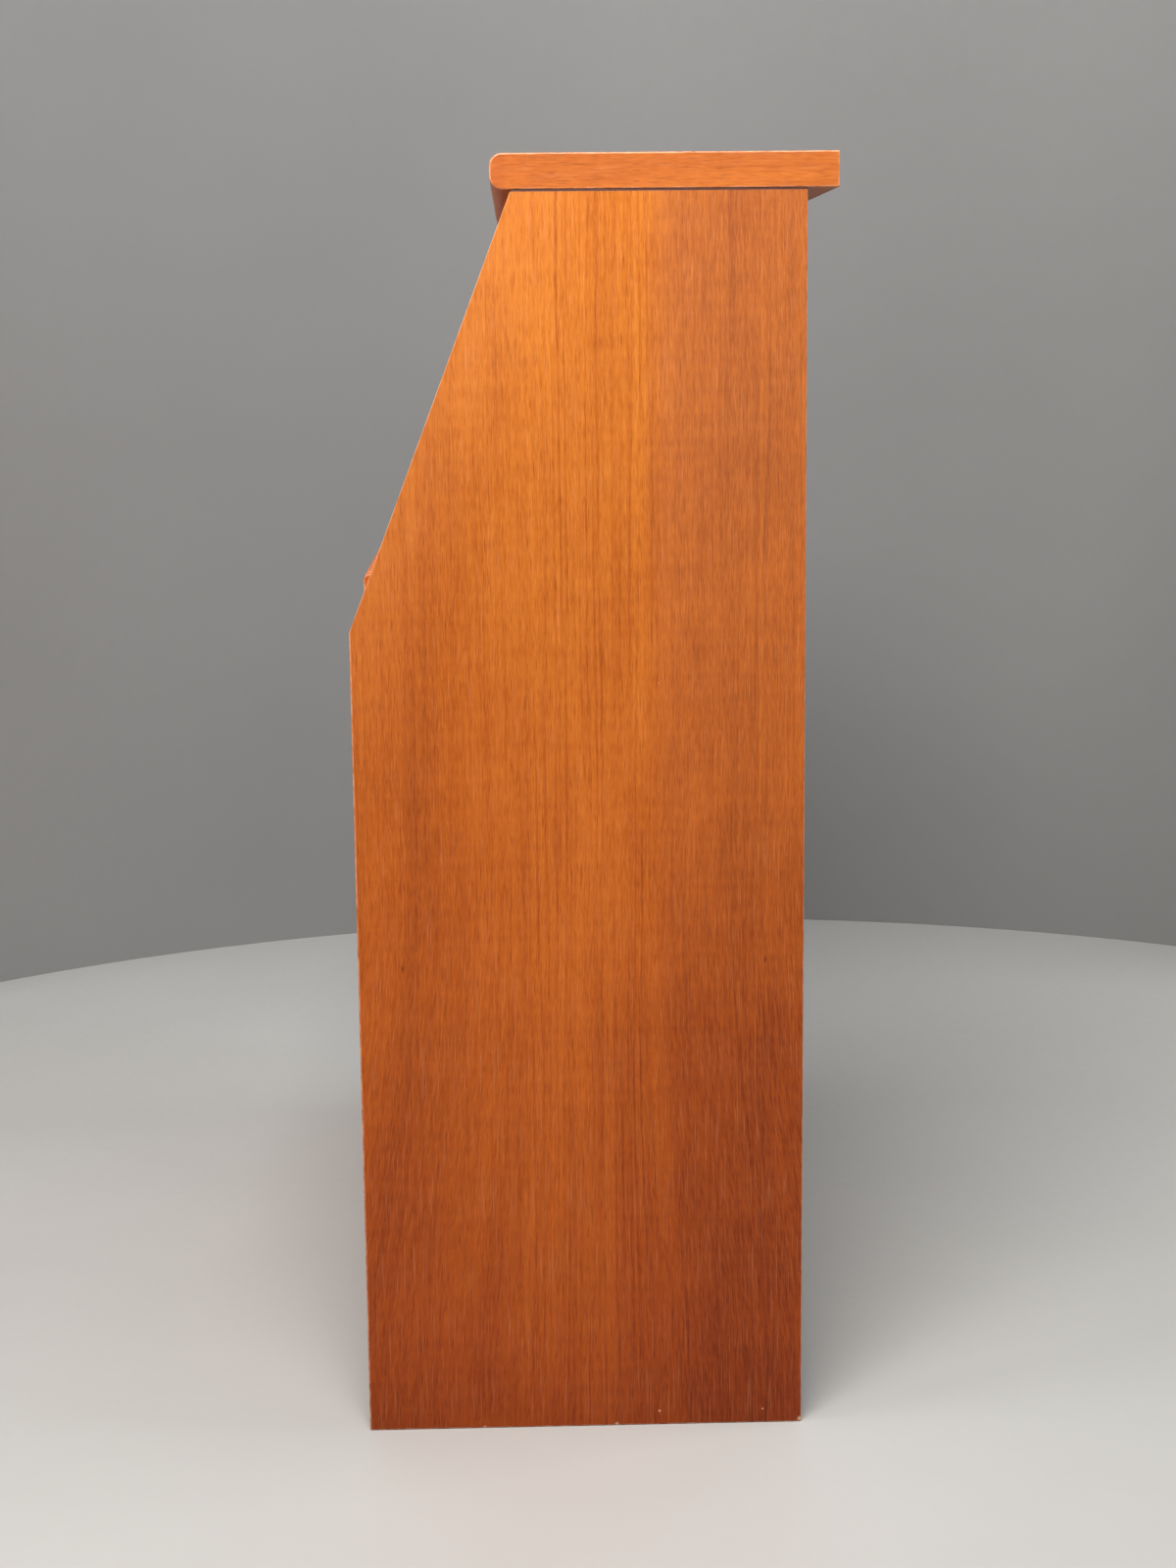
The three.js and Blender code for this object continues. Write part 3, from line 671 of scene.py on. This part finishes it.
def grain_shift(name):
    """A different stretch of grain for each piece, the same on every run."""
    return (sum(i * ord(letter) for i, letter in enumerate(name, 1)) % 97) * 0.37


def wooden(name, shape, tones, grain):
    """A wooden object with its timber and, as second material, its arris, paler from wear and from a painted
    highlight.
    """
    piece = make_object(name, shape)
    piece.data.materials.append(timber(tones, grain))
    piece.data.materials.append(timber(tones, grain, edge_wear_sheen=True))
    return piece


def metallic(name, shape, material):
    piece = make_object(name, shape)
    piece.data.materials.append(material)
    return piece


# ---------------------------------------------------------------- CAD boards that stay


def soften(piece, arris, segments, steeper_than):
    """Welds a CAD node's faces and rounds its arrises."""
    weld = piece.modifiers.new("weld", "WELD")
    weld.merge_threshold = WELD_DISTANCE
    bevel = piece.modifiers.new("arris", "BEVEL")
    bevel.width = arris * MM
    bevel.segments = segments
    bevel.limit_method = "ANGLE"
    bevel.angle_limit = math.radians(steeper_than)
    bevel.material = len(piece.data.materials) - 1


def dress(node, tones, grain, arris=0.8):
    """Gives a CAD node its timber and a small rounded arris, slightly paler from wear and from a painted
    highlight.
    """
    piece = NODES[node]
    piece["shift"] = grain_shift(node)
    piece.data.materials.clear()
    piece.data.materials.append(timber(tones, grain))
    piece.data.materials.append(timber(tones, grain, edge_wear_sheen=True))
    soften(piece, arris, 3, 40)


def plate(node, material, arris=0.3):
    """Gives a CAD node its metal and a small rounded arris."""
    piece = NODES[node]
    piece.data.materials.clear()
    piece.data.materials.append(material)
    soften(piece, arris, 2, 50)


def dress_boards():
    for side in ("left", "right"):
        dress(f"side_panel_{side}", "side", "z", 1.3)
        dress(f"gallery_shelf_{side}", "teak", "x", 1.2)
        dress(f"loper_bearer_{side}", "beech", "y")
        dress(f"runner_middle_{side}", "beech", "y", 1.2)
        dress(f"runner_top_{side}", "beech", "y", 1.2)
        small = f"letter_drawer_{side}"
        dress(f"{small}_front", "teak", "x", 1.2)
        dress(f"{small}_side_left", "beech", "y", 1.0)
        dress(f"{small}_side_right", "beech", "y", 1.0)
        dress(f"{small}_back", "beech", "x", 1.0)
        dress(f"{small}_bottom", "ply", "x", 0.2)
    for name in DRAWERS:
        dress(f"drawer_{name}_back", "beech", "x", 1.2)
        dress(f"drawer_{name}_bottom", "ply", "x", 0.2)
    for node in ("writing_deck", "bottom_panel", "gallery_shelf_centre"):
        dress(node, "teak", "x", 1.0)
    dress("plinth_rail", "solid", "x")
    dress("back_panel", "back", "z", 0.4)
    plate("lock_case", BRASS)
    plate("lock_bolt", STEEL, 0.5)
    plate("strike_plate", BRASS)


DRAWERS = ("bottom", "middle", "top")
dress_boards()

# ---------------------------------------------------------------- top slab

SLAB_ARRIS = 1.2
NOSE_RADIUS = 10
NEAR = 0.01
LET_IN = 0.3
STRIKE_RIM, STRIKE_POCKET_DEPTH = 4, 10


def outer_edge(joint_y):
    """True for an edge that isn't on the hidden joint between the slab and its lipping."""
    def test(a, b):
        return not (abs(a.y - joint_y) < NEAR and abs(b.y - joint_y) < NEAR)
    return test


def outer_end_edge(end_x, joint_y):
    """The same, and only for edges on the two ends."""
    outer = outer_edge(joint_y)

    def test(a, b):
        return abs(abs(a.x) - end_x) < NEAR and abs(a.x - b.x) < NEAR and outer(a, b)
    return test


def make_top():
    x, y, z = span("top_panel")
    slab = wooden("top_slab_veneered", block(x, y, z), "teak", "x")
    round_arrises(slab, SLAB_ARRIS, only=outer_edge(y[0]))
    plate_x, plate_y, plate_z = span("strike_plate")
    pocket_x = (plate_x[0] / 2, plate_x[1] / 2)
    pocket_y = (plate_y[0] + STRIKE_RIM, plate_y[1] - STRIKE_RIM)
    cut(
        slab,
        block(
            (plate_x[0] - LET_IN, plate_x[1] + LET_IN),
            (plate_y[0] - LET_IN, plate_y[1] + LET_IN),
            (z[0] - 1, plate_z[1] + LET_IN),
        ),
        block(pocket_x, pocket_y, (z[0] - 1, z[0] + STRIKE_POCKET_DEPTH)),
    )
    finish_piece(slab, "carcass", ("top_panel",))

    x, y, z = span("top_front_lipping")
    r = NOSE_RADIUS
    outline = (
        [(y[1], z[0]), (y[1], z[1])]
        + arc((y[0] + r, z[1] - r), r, 90, 180, 10)
        + arc((y[0] + r, z[0] + r), r, 180, 270, 10)
    )
    nose = wooden("top_lipping_rounded", prism(outline, x), "solid", "x")
    round_arrises(nose, SLAB_ARRIS, only=outer_end_edge(x[1], y[1]))
    shift = grain_shift("top_slab_veneered")
    finish_piece(nose, "carcass", ("top_front_lipping",), shift)


make_top()

# ---------------------------------------------------------------- lipped fronts
# The rail, the pull-out arms and the long drawers share one section: an upright face, a cove
# that takes the fingertips, and a lip over it. Everything forward of the face is bowed.

LIP_REACH, LIP_CORNER = 12, 5
COVE_RADIUS, COVE_DROP, COVE_SETBACK = 10, 25, 6
FOOT_ROUND = 2
FACE_SETBACK = 24
BOW = 3
INNER = span("side_panel_right")[0][0]
FACE_Y = span("side_panel_right")[1][0] + FACE_SETBACK
BOW_STEPS = 22
TAIL_LENGTH, TAIL_FLARE, TAIL_ROOT, TAIL_PITCH = 10, 1.7, 20, 38
SOCKET_GAP = 0.12
# How far a socket's cutter runs on past the drawer front's back face and past its end
PAST_BACK, PAST_END = 3, 2


def lipped_outline(bottom, top, back):
    """The shared section in (y, z), between two heights and back to a given depth."""
    lip = FACE_Y - LIP_REACH
    cove = (FACE_Y - COVE_SETBACK, top - COVE_DROP)
    half = math.degrees(math.acos(COVE_SETBACK / COVE_RADIUS))
    return (
        [(back, bottom), (back, top)]
        + arc((lip + LIP_CORNER, top - LIP_CORNER), LIP_CORNER, 90, 180, 7)
        + arc(cove, COVE_RADIUS, 180 - half, -half, 16)
        + arc((FACE_Y + FOOT_ROUND, bottom + FOOT_ROUND), FOOT_ROUND, 180, 270, 4)
    )


def bowed(x, y, z):
    """Bows what stands forward of the face: most at mid-width, nothing at the side panels."""
    reach = max(FACE_Y - y, 0)
    swell = BOW * (1 - (x / INNER) ** 2)
    return x, y - reach * swell / LIP_REACH, z


def lipped(node, name, tones, steps):
    """The smooth version of a lipped CAD node, with softened arrises."""
    x, y, z = span(node)
    outline = lipped_outline(z[0], z[1], y[1])
    shape = moved(prism(outline, stations(*x, steps)), bowed)
    piece = wooden(name, shape, tones, "y" if node.startswith("loper") else "x")
    round_arrises(piece, 0.8)
    return piece


def tail_spots(z):
    """The middle heights of the dovetails on a drawer side between two heights."""
    count = max(2, round((z[1] - z[0]) / TAIL_PITCH))
    pitch = (z[1] - z[0]) / count
    return [z[0] + pitch * (i + 0.5) for i in range(count)]


def side_outline(y, z):
    """A drawer side in (y, z): a board whose front end carries dovetails."""
    front = y[0]
    tip = front - TAIL_LENGTH
    root = TAIL_ROOT / 2
    points = [(y[1], z[0]), (front, z[0])]
    for middle in tail_spots(z):
        points += [
            (front, middle - root), (tip, middle - root - TAIL_FLARE),
            (tip, middle + root + TAIL_FLARE), (front, middle + root),
        ]
    return points + [(front, z[1]), (y[1], z[1])]


def socket(x, front, middle):
    """What is cut from a drawer front for one dovetail."""
    root = TAIL_ROOT / 2 + SOCKET_GAP
    flare = root + TAIL_FLARE
    tip = front - TAIL_LENGTH - SOCKET_GAP
    behind = front + PAST_BACK
    outline = [
        (behind, middle - root), (front, middle - root), (tip, middle - flare),
        (tip, middle + flare), (front, middle + root), (behind, middle + root),
    ]
    return prism(outline, x)


def make_drawer(name):
    node = f"drawer_{name}"
    front = lipped(f"{node}_front", f"{node}_front_shaped", "teak", BOW_STEPS)
    sockets = []
    for side, past_end in (("left", (-PAST_END, 0)), ("right", (0, PAST_END))):
        x, y, z = span(f"{node}_side_{side}")
        shape = prism(side_outline(y, z), x)
        board = wooden(f"{node}_side_{side}_dovetailed", shape, "beech", "y")
        round_arrises(board, 0.5, 2)
        finish_piece(board, node, (f"{node}_side_{side}",))
        wide = (x[0] - SOCKET_GAP + past_end[0], x[1] + SOCKET_GAP + past_end[1])
        sockets += [socket(wide, y[0], middle) for middle in tail_spots(z)]
    cut(front, *sockets)
    finish_piece(front, node, (f"{node}_front",))


def make_lipped_fronts():
    rail = lipped("front_rail", "front_rail_shaped", "solid", BOW_STEPS)
    finish_piece(rail, "carcass", ("front_rail",))
    for side in ("left", "right"):
        arm = lipped(f"loper_{side}", f"loper_{side}_shaped", "solid", 1)
        finish_piece(arm, f"loper_{side}", (f"loper_{side}",))
    for name in DRAWERS:
        make_drawer(name)


make_lipped_fronts()

# ---------------------------------------------------------------- gallery

# The dividers' curved front edge: its two ends and, between them, how far it is pulled back
TOP_SETBACK, UPPER_PULL, UPPER_DROP = 14, 46, 50
FOOT_RISE, LOWER_PULL, LOWER_RISE = 16, 44, 70
CURVE_STEPS = 22

# Radius and distance from the drawer front
KNOB_PROFILE = (
    (0, 0), (4.6, 0), (3.4, 4), (4, 7), (7.2, 9), (8, 11), (6.6, 13.2), (3.4, 13.9), (0, 14),
)


def bezier(p0, p1, p2, p3, steps):
    """Points on a cubic curve, the first left out."""
    points = []
    for i in range(1, steps + 1):
        t = i / steps
        s = 1 - t
        weights = (s ** 3, 3 * s * s * t, 3 * s * t * t, t ** 3)
        points.append(tuple(
            sum(w * p[axis] for w, p in zip(weights, (p0, p1, p2, p3))) for axis in (0, 1)
        ))
    return points


def smooth_profile(points, steps):
    """A curve through a profile's points (Catmull-Rom), so that a turning has no facets."""
    ends = [points[0], *points, points[-1]]
    curve = [points[0]]
    for a, b, c, d in zip(ends, ends[1:], ends[2:], ends[3:]):
        for i in range(1, steps + 1):
            t = i / steps
            curve.append(tuple(
                0.5 * (2 * q + (r - p) * t + (2 * p - 5 * q + 4 * r - s) * t * t
                       + (3 * q - p - 3 * r + s) * t ** 3)
                for p, q, r, s in zip(a, b, c, d)
            ))
    return curve


def make_gallery():
    for side in ("left", "right"):
        x, y, z = span(f"gallery_divider_{side}")
        shelf_z = span(f"gallery_shelf_{side}")[2][0]
        curve = (
            (y[0] + TOP_SETBACK, z[1]),
            (y[0] + UPPER_PULL, z[1] - UPPER_DROP),
            (y[0] + LOWER_PULL, shelf_z + LOWER_RISE),
            (y[0], shelf_z + FOOT_RISE),
        )
        outline = [(y[1], z[0]), (y[1], z[1]), curve[0]]
        outline += bezier(*curve, CURVE_STEPS)
        outline.append((y[0], z[0]))
        divider = wooden(f"gallery_divider_{side}_shaped", prism(outline, x), "solid", "z")
        round_arrises(divider, 1.5)
        finish_piece(divider, "carcass", (f"gallery_divider_{side}",))

        node = f"letter_drawer_{side}"
        x, y, z = span(f"{node}_knob")
        middle = ((x[0] + x[1]) / 2, (z[0] + z[1]) / 2)
        shape = turned(
            smooth_profile(KNOB_PROFILE, 4), 32,
            lambda a, b, out: (middle[0] + a, y[1] - out, middle[1] + b),
        )
        knob = wooden(f"{node}_knob_turned", shape, "solid", "y")
        finish_piece(knob, node, (f"{node}_knob",))


make_gallery()

# ---------------------------------------------------------------- fall front
# The flap's own frame: z runs up the slope from the hinge line, and -y points outwards.

JOINTS = {joint["name"]: joint for joint in frame["joints"]}
HINGE_LINE = [c / MM for c in JOINTS["flap_hinge"]["pos_m"]]
UP_SLOPE = JOINTS["bolt_slide"]["axis"]
INWARDS = (0, UP_SLOPE[2], -UP_SLOPE[1])
FLAP_THICKNESS, FLAP_LENGTH, FLAP_LOW = 18, 291, 0.6
TROUGH_HEIGHT, TROUGH_RADIUS, TROUGH_STRAIGHT = 222, 9, 90
KEYHOLE_HEIGHT, KEYHOLE_RADIUS, KEY_SLOT_WIDTH, KEY_SLOT_DROP = 264, 3, 2.6, 7.5
DISC_RADIUS, DISC_THICKNESS = 12, 1.2
# Radius and height of the escutcheon, with a bead round its rim
DISC_PROFILE = (
    (0, 0), (DISC_RADIUS, 0), (DISC_RADIUS, 1.0), (11.6, 1.35), (11, 1.5), (9.8, 1.5),
    (9.2, 1.35), (8.8, 1.15), (0, 1.15),
)
CASE_HALF, CASE_HEIGHT, CASE_DEPTH = 30, 42, 11
HINGE_X, HINGE_LENGTH, LEAF_WIDTH, LEAF_THICKNESS = 290, 60, 18, 1.6
KNUCKLE_RADIUS, KNUCKLE_BORE, KNUCKLE_HALF, KNUCKLE_GAP = 3, 1.5, 10, 0.4


def in_flap(x, y, z):
    """From the flap's own frame to the desk's."""
    up_y, up_z = UP_SLOPE[1], UP_SLOPE[2]
    return x, HINGE_LINE[1] + y * up_z + z * up_y, HINGE_LINE[2] - y * up_y + z * up_z


def keyhole(y0, y1):
    """The two shapes that a keyhole is cut with, drawn in the flap's frame."""
    profile = [(0, y0), (KEYHOLE_RADIUS, y0), (KEYHOLE_RADIUS, y1), (0, y1)]
    head = turned(profile, 16, lambda a, b, along: in_flap(a, along, KEYHOLE_HEIGHT + b))
    half = KEY_SLOT_WIDTH / 2
    slot = block((-half, half), (y0, y1), (KEYHOLE_HEIGHT - KEY_SLOT_DROP, KEYHOLE_HEIGHT))
    return head, moved(slot, in_flap)


def make_flap():
    half = span("fall_front")[0][1]
    outer = -FLAP_THICKNESS
    body = block((-half, half), (outer, 0), (FLAP_LOW, FLAP_LENGTH))
    flap = wooden("fall_front_shaped", moved(body, in_flap), "teak", "x")
    round_arrises(flap, 0.9)
    ends = TROUGH_STRAIGHT / 2
    profile = [(r, -ends + a) for a, r in arc((0, 0), TROUGH_RADIUS, 180, 90, 10)]
    profile += [(r, ends + a) for a, r in arc((0, 0), TROUGH_RADIUS, 90, 0, 10)]
    trough = turned(profile, 40, lambda a, b, x: in_flap(x, outer + a, TROUGH_HEIGHT + b))
    disc = DISC_RADIUS + LET_IN
    disc_y = outer + DISC_THICKNESS + LET_IN
    disc_bed = turned(
        [(0, outer - 2), (disc, outer - 2), (disc, disc_y), (0, disc_y)], 40,
        lambda a, b, along: in_flap(a, along, KEYHOLE_HEIGHT + b),
    )
    case_half = CASE_HALF + LET_IN
    case_bed = block(
        (-case_half, case_half), (-CASE_DEPTH - LET_IN, 1),
        (FLAP_LENGTH - CASE_HEIGHT - LET_IN, FLAP_LENGTH + 1),
    )
    beds = []
    for x in (-HINGE_X, HINGE_X):
        reach = HINGE_LENGTH / 2 + LET_IN
        notch = KNUCKLE_RADIUS + 2 * LET_IN
        span_x = (x - reach, x + reach)
        beds.append(block(span_x, (-LEAF_THICKNESS - LET_IN, 1), (-1, LEAF_WIDTH + LET_IN)))
        beds.append(block(span_x, (-notch, 1), (-1, notch)))
    let_ins = [moved(bed, in_flap) for bed in (case_bed, *beds)]
    cut(flap, trough, disc_bed, *let_ins, *keyhole(outer - 1, 1))
    round_arrises(flap, 0.4, 2, steeper_than=60)
    finish_piece(flap, "flap", ("fall_front",))

    disc_base = outer + DISC_THICKNESS
    shape = turned(
        DISC_PROFILE, 48,
        lambda a, b, along: in_flap(a, disc_base - along, KEYHOLE_HEIGHT + b),
    )
    escutcheon = metallic("escutcheon_beaded", shape, BRASS)
    cut(escutcheon, *keyhole(outer - 3, outer + 4))
    finish_piece(escutcheon, "flap", ("escutcheon",))


make_flap()

# ---------------------------------------------------------------- screws

FIRST_TURN, EACH_TURN = 25, 67
LEAF_SCREW, CASE_SCREW, STRIKE_SCREW, BACK_SCREW = 2.8, 2.8, 3.0, 3.5
LEAF_SCREW_SINK = 0.12
COUNTERSINK = ((0, -3), (1.6, -3), (1.6, -1.7), (3.1, 0.1), (3.1, 1), (0, 1))


def screw_head(radius):
    """A slotted countersunk head with its axis on +z and its rim at height 0, as a shape."""
    crown, shank, sink = 0.07 * radius, 0.5 * radius, 0.45 * radius
    profile = [(0, crown), (0.6 * radius, 0.7 * crown), (radius, 0), (shank, -sink), (0, -sink)]
    head = make_object("screw_head", turned(profile, 20))
    slot = 0.13 * radius
    cut(head, block((-2 * radius, 2 * radius), (-slot, slot), (-0.28 * radius, radius)))
    shape = (
        [tuple(v.co / MM) for v in head.data.vertices],
        [tuple(p.vertices) for p in head.data.polygons],
    )
    discard(head)
    return shape


def screws(name, radius, spots, facing, body, material):
    """A group of screw heads at points, all facing one way, each slot turned differently."""
    head_verts, head_faces = screw_head(radius)
    turn = Vector(facing).to_track_quat("Z", "Y").to_matrix().to_4x4()
    verts, faces = [], []
    for i, middle in enumerate(spots):
        slot_turn = Matrix.Rotation(math.radians(FIRST_TURN + EACH_TURN * i), 4, "Z")
        place = Matrix.Translation(middle) @ turn @ slot_turn
        first = len(verts)
        verts += [tuple(place @ Vector(vert)) for vert in head_verts]
        faces += [tuple(first + k for k in face) for face in head_faces]
    finish_piece(metallic(name, (verts, faces), material), body)


def countersink(x, away, to_place):
    """The cone that a leaf's screw hole is cut with."""
    return turned(COUNTERSINK, 20, lambda a, b, up: to_place(x + a, away + b, up))


# ---------------------------------------------------------------- hinges

LEAF_HOLES = ((-21, 10), (0, 12.5), (21, 10))
LEAF_CORNER = 2.5
PIN_RADIUS, PIN_SHORTER = 1.3, 0.6


def on_deck(x, away, up):
    """From a leaf's frame, measured from the hinge line, to the desk's, on the deck."""
    return x, HINGE_LINE[1] + away, HINGE_LINE[2] + up


def on_flap(x, away, up):
    """The same on the flap's inner face."""
    return in_flap(x, up, away)


def make_leaf(name, node, body, middle_x, own, other, to_place, facing):
    """One leaf: its plate and its own knuckles, notched where the other leaf's knuckles turn."""
    half = HINGE_LENGTH / 2
    r = LEAF_CORNER
    outline = [(middle_x - half, FLAP_LOW), (middle_x + half, FLAP_LOW)]
    outline += arc((middle_x + half - r, LEAF_WIDTH - r), r, 0, 90, 5)
    outline += arc((middle_x - half + r, LEAF_WIDTH - r), r, 90, 180, 5)
    leaf = metallic(name, prism(outline, (-LEAF_THICKNESS, 0), to_place), BRASS)

    def rod(radius, x0, x1):
        ends = (middle_x + x0, middle_x + x1)
        profile = [(0, ends[0]), (radius, ends[0]), (radius, ends[1]), (0, ends[1])]
        return turned(profile, 28, lambda a, b, x: to_place(x, a, b))

    join(leaf, *(rod(KNUCKLE_RADIUS, x0, x1) for x0, x1 in own))
    holes = [countersink(middle_x + x, away, to_place) for x, away in LEAF_HOLES]
    gaps = [rod(KNUCKLE_RADIUS + KNUCKLE_GAP, x0, x1) for x0, x1 in other]
    cut(leaf, rod(KNUCKLE_BORE, -half - 1, half + 1), *gaps, *holes)
    finish_piece(leaf, body, (node,))
    spots = [to_place(middle_x + x, away, -LEAF_SCREW_SINK) for x, away in LEAF_HOLES]
    screws(f"{name}_screws", LEAF_SCREW, spots, facing, body, BRASS)


def make_hinges():
    half, third, gap = HINGE_LENGTH / 2, KNUCKLE_HALF, KNUCKLE_GAP
    for side, sign in (("left", -1), ("right", 1)):
        x = sign * HINGE_X
        base = f"hinge_{side}"
        make_leaf(
            f"{base}_deck_leaf_drilled", f"{base}_deck_leaf", "carcass", x,
            [(-third, third)], [(-half - 1, -third), (third, half + 1)], on_deck, (0, 0, 1),
        )
        make_leaf(
            f"{base}_flap_leaf_drilled", f"{base}_flap_leaf", "flap", x,
            [(-half, -third - gap), (third + gap, half)], [(-third - gap, third + gap)],
            on_flap, INWARDS,
        )
        dome = half - PIN_SHORTER
        profile = [(r, x - dome + a) for a, r in arc((0, 0), PIN_RADIUS, 180, 90, 5)]
        profile += [(r, x + dome + a) for a, r in arc((0, 0), PIN_RADIUS, 90, 0, 5)]
        shape = turned(profile, 20, lambda a, b, along: on_deck(along, a, b))
        pin = metallic(f"{base}_pin_domed", shape, STEEL)
        finish_piece(pin, BODY_OF[f"{base}_pin"], (f"{base}_pin",))


make_hinges()

# ---------------------------------------------------------------- other screws

STRIKE_SCREW_REACH = 0.78
CASE_SCREW_INSET = 6
# Where the back panel is screwed to each board, along x
BACK_SCREWS = {
    "bottom_panel": (-400, -200, 0, 200, 400),
    "writing_deck": (-400, -200, 0, 200, 400),
    "gallery_shelf_centre": (-90, 90),
    "gallery_shelf_left": (-390, -220),
    "gallery_shelf_right": (220, 390),
}


def make_screws():
    x, y, z = span("strike_plate")
    spots = [(STRIKE_SCREW_REACH * end, (y[0] + y[1]) / 2, z[0] - 0.05) for end in x]
    screws("strike_plate_screws", STRIKE_SCREW, spots, (0, 0, -1), "carcass", BRASS)

    across = CASE_HALF - CASE_SCREW_INSET
    heights = (FLAP_LENGTH - CASE_HEIGHT + CASE_SCREW_INSET, FLAP_LENGTH - CASE_SCREW_INSET)
    spots = [in_flap(x, 0.05, z) for x in (-across, across) for z in heights]
    screws("lock_case_screws", CASE_SCREW, spots, INWARDS, "flap", BRASS)

    back_y = span("back_panel")[1][1] + 0.1
    spots = []
    for shelf, places in BACK_SCREWS.items():
        z = span(shelf)[2]
        spots += [(x, back_y, (z[0] + z[1]) / 2) for x in places]
    screws("back_panel_screws", BACK_SCREW, spots, (0, 1, 0), "carcass", STEEL)


make_screws()

# ---------------------------------------------------------------- stage and light

FLOOR_TONE = (0.48, 0.48, 0.466)
WALL_TONE = (0.235, 0.235, 0.233)
WALL_NEAREST = -1.42
WALL_MIDDLE_Y = 0.12
WALL_RADIUS = 1.5
WALL_ARC = 50
WALL_HEIGHT = 5.0
ROOM_MIDDLE_X, ROOM_RADIUS, ROOM_ARC = 1.2, 5.2, 120
FLOOR_REACH = 9.0
DESK_MIDDLE = (0, 0, 0.6)
# Name, place, target, size, power in watts, colour
LAMPS = (
    ("key", (1.3, -0.2, 2.2), (0.55, -0.03, 0.6), (0.8, 0.8), 59, (1.0, 0.97, 0.93)),
    ("front_fill", (1.0, -2.9, 1.6), DESK_MIDDLE, (1.6, 1.6), 46, (1.0, 0.98, 0.96)),
    ("rear_fill", (0.2, 2.9, 1.7), DESK_MIDDLE, (1.6, 1.6), 42, (0.97, 0.98, 1.0)),
    ("left_fill", (-2.9, -0.5, 1.7), DESK_MIDDLE, (1.6, 1.6), 62, (1, 1, 1)),
    ("wall_wash", (-0.35, 0.1, 2.75), (-1.42, 0.1, 1.75), (1.6, 0.3), 20, (1, 1, 1)),
)
SKY_COLOR = (0.83, 0.86, 0.9, 1)
SKY_STRENGTH = 0.23


def stage_material(name, tone, rough, one_sided=False):
    """Plain painted floor or wall. A one-sided wall is clear when seen from behind."""
    s = Shader(name)
    place = s.add("ShaderNodeTexCoord", output=3)
    cloud = s.noise(place, (1.5, 1.5, 1.5), 4.0, 0.55)
    dust = s.noise(place, (70, 70, 70), 3.0, 0.6)
    color = s.mix(s.scaled(cloud, 0.3, 0.7), tone, tuple(0.93 * c for c in tone))
    surface = s.add("ShaderNodeBsdfPrincipled", {
        "Base Color": color,
        "Roughness": s.scaled(dust, 0.3, 0.7, rough - 0.05, rough + 0.05),
        "Normal": s.bump(dust, 0.08, 0.0005),
    })
    if one_sided:
        facing = s.add("ShaderNodeNewGeometry", output=6)
        clear = s.add("ShaderNodeBsdfTransparent")
        surface = s.add("ShaderNodeMixShader", {0: facing, 1: surface, 2: clear})
    s.add("ShaderNodeOutputMaterial", {"Surface": surface})
    return s.material


def make_stage():
    reach = FLOOR_REACH
    floor_mesh = bpy.data.meshes.new("floor")
    floor_mesh.from_pydata(
        [(-reach, -reach, 0), (reach, -reach, 0), (reach, reach, 0), (-reach, reach, 0)],
        [], [(0, 1, 2, 3)],
    )
    floor = bpy.data.objects.new("floor", floor_mesh)
    floor_mesh.materials.append(stage_material("floor", FLOOR_TONE, 0.42))

    near = (WALL_NEAREST + WALL_RADIUS, WALL_MIDDLE_Y)
    points = arc(near, WALL_RADIUS, 180 - WALL_ARC, 180 + WALL_ARC, 40)
    points += arc((ROOM_MIDDLE_X, 0), ROOM_RADIUS, -ROOM_ARC, ROOM_ARC, 72)
    n = len(points)
    verts = [(x, y, 0) for x, y in points] + [(x, y, WALL_HEIGHT) for x, y in points]
    faces = [(i, i + n, (i + 1) % n + n, (i + 1) % n) for i in range(n)]
    wall_mesh = bpy.data.meshes.new("wall")
    wall_mesh.from_pydata(verts, [], faces)
    wall = bpy.data.objects.new("wall", wall_mesh)
    wall_mesh.materials.append(stage_material("wall", WALL_TONE, 0.6, one_sided=True))
    for polygon in wall_mesh.polygons:
        polygon.use_smooth = True
    for piece in (floor, wall):
        scene.collection.objects.link(piece)


def area_light(name, place, target, size, power, color):
    data = bpy.data.lights.new(name, "AREA")
    data.shape = "RECTANGLE"
    data.size, data.size_y = size
    data.energy = power
    data.color = color
    lamp = bpy.data.objects.new(name, data)
    scene.collection.objects.link(lamp)
    lamp.location = place
    aim = Vector(target) - Vector(place)
    lamp.rotation_euler = aim.to_track_quat("-Z", "Y").to_euler()
    lamp.visible_camera = False


def make_light():
    for lamp in LAMPS:
        area_light(*lamp)
    world = bpy.data.worlds.new("world")
    world.use_nodes = True
    background = world.node_tree.nodes["Background"]
    background.inputs["Color"].default_value = SKY_COLOR
    background.inputs["Strength"].default_value = SKY_STRENGTH
    scene.world = world
    scene.view_settings.view_transform = "Standard"


make_stage()
make_light()
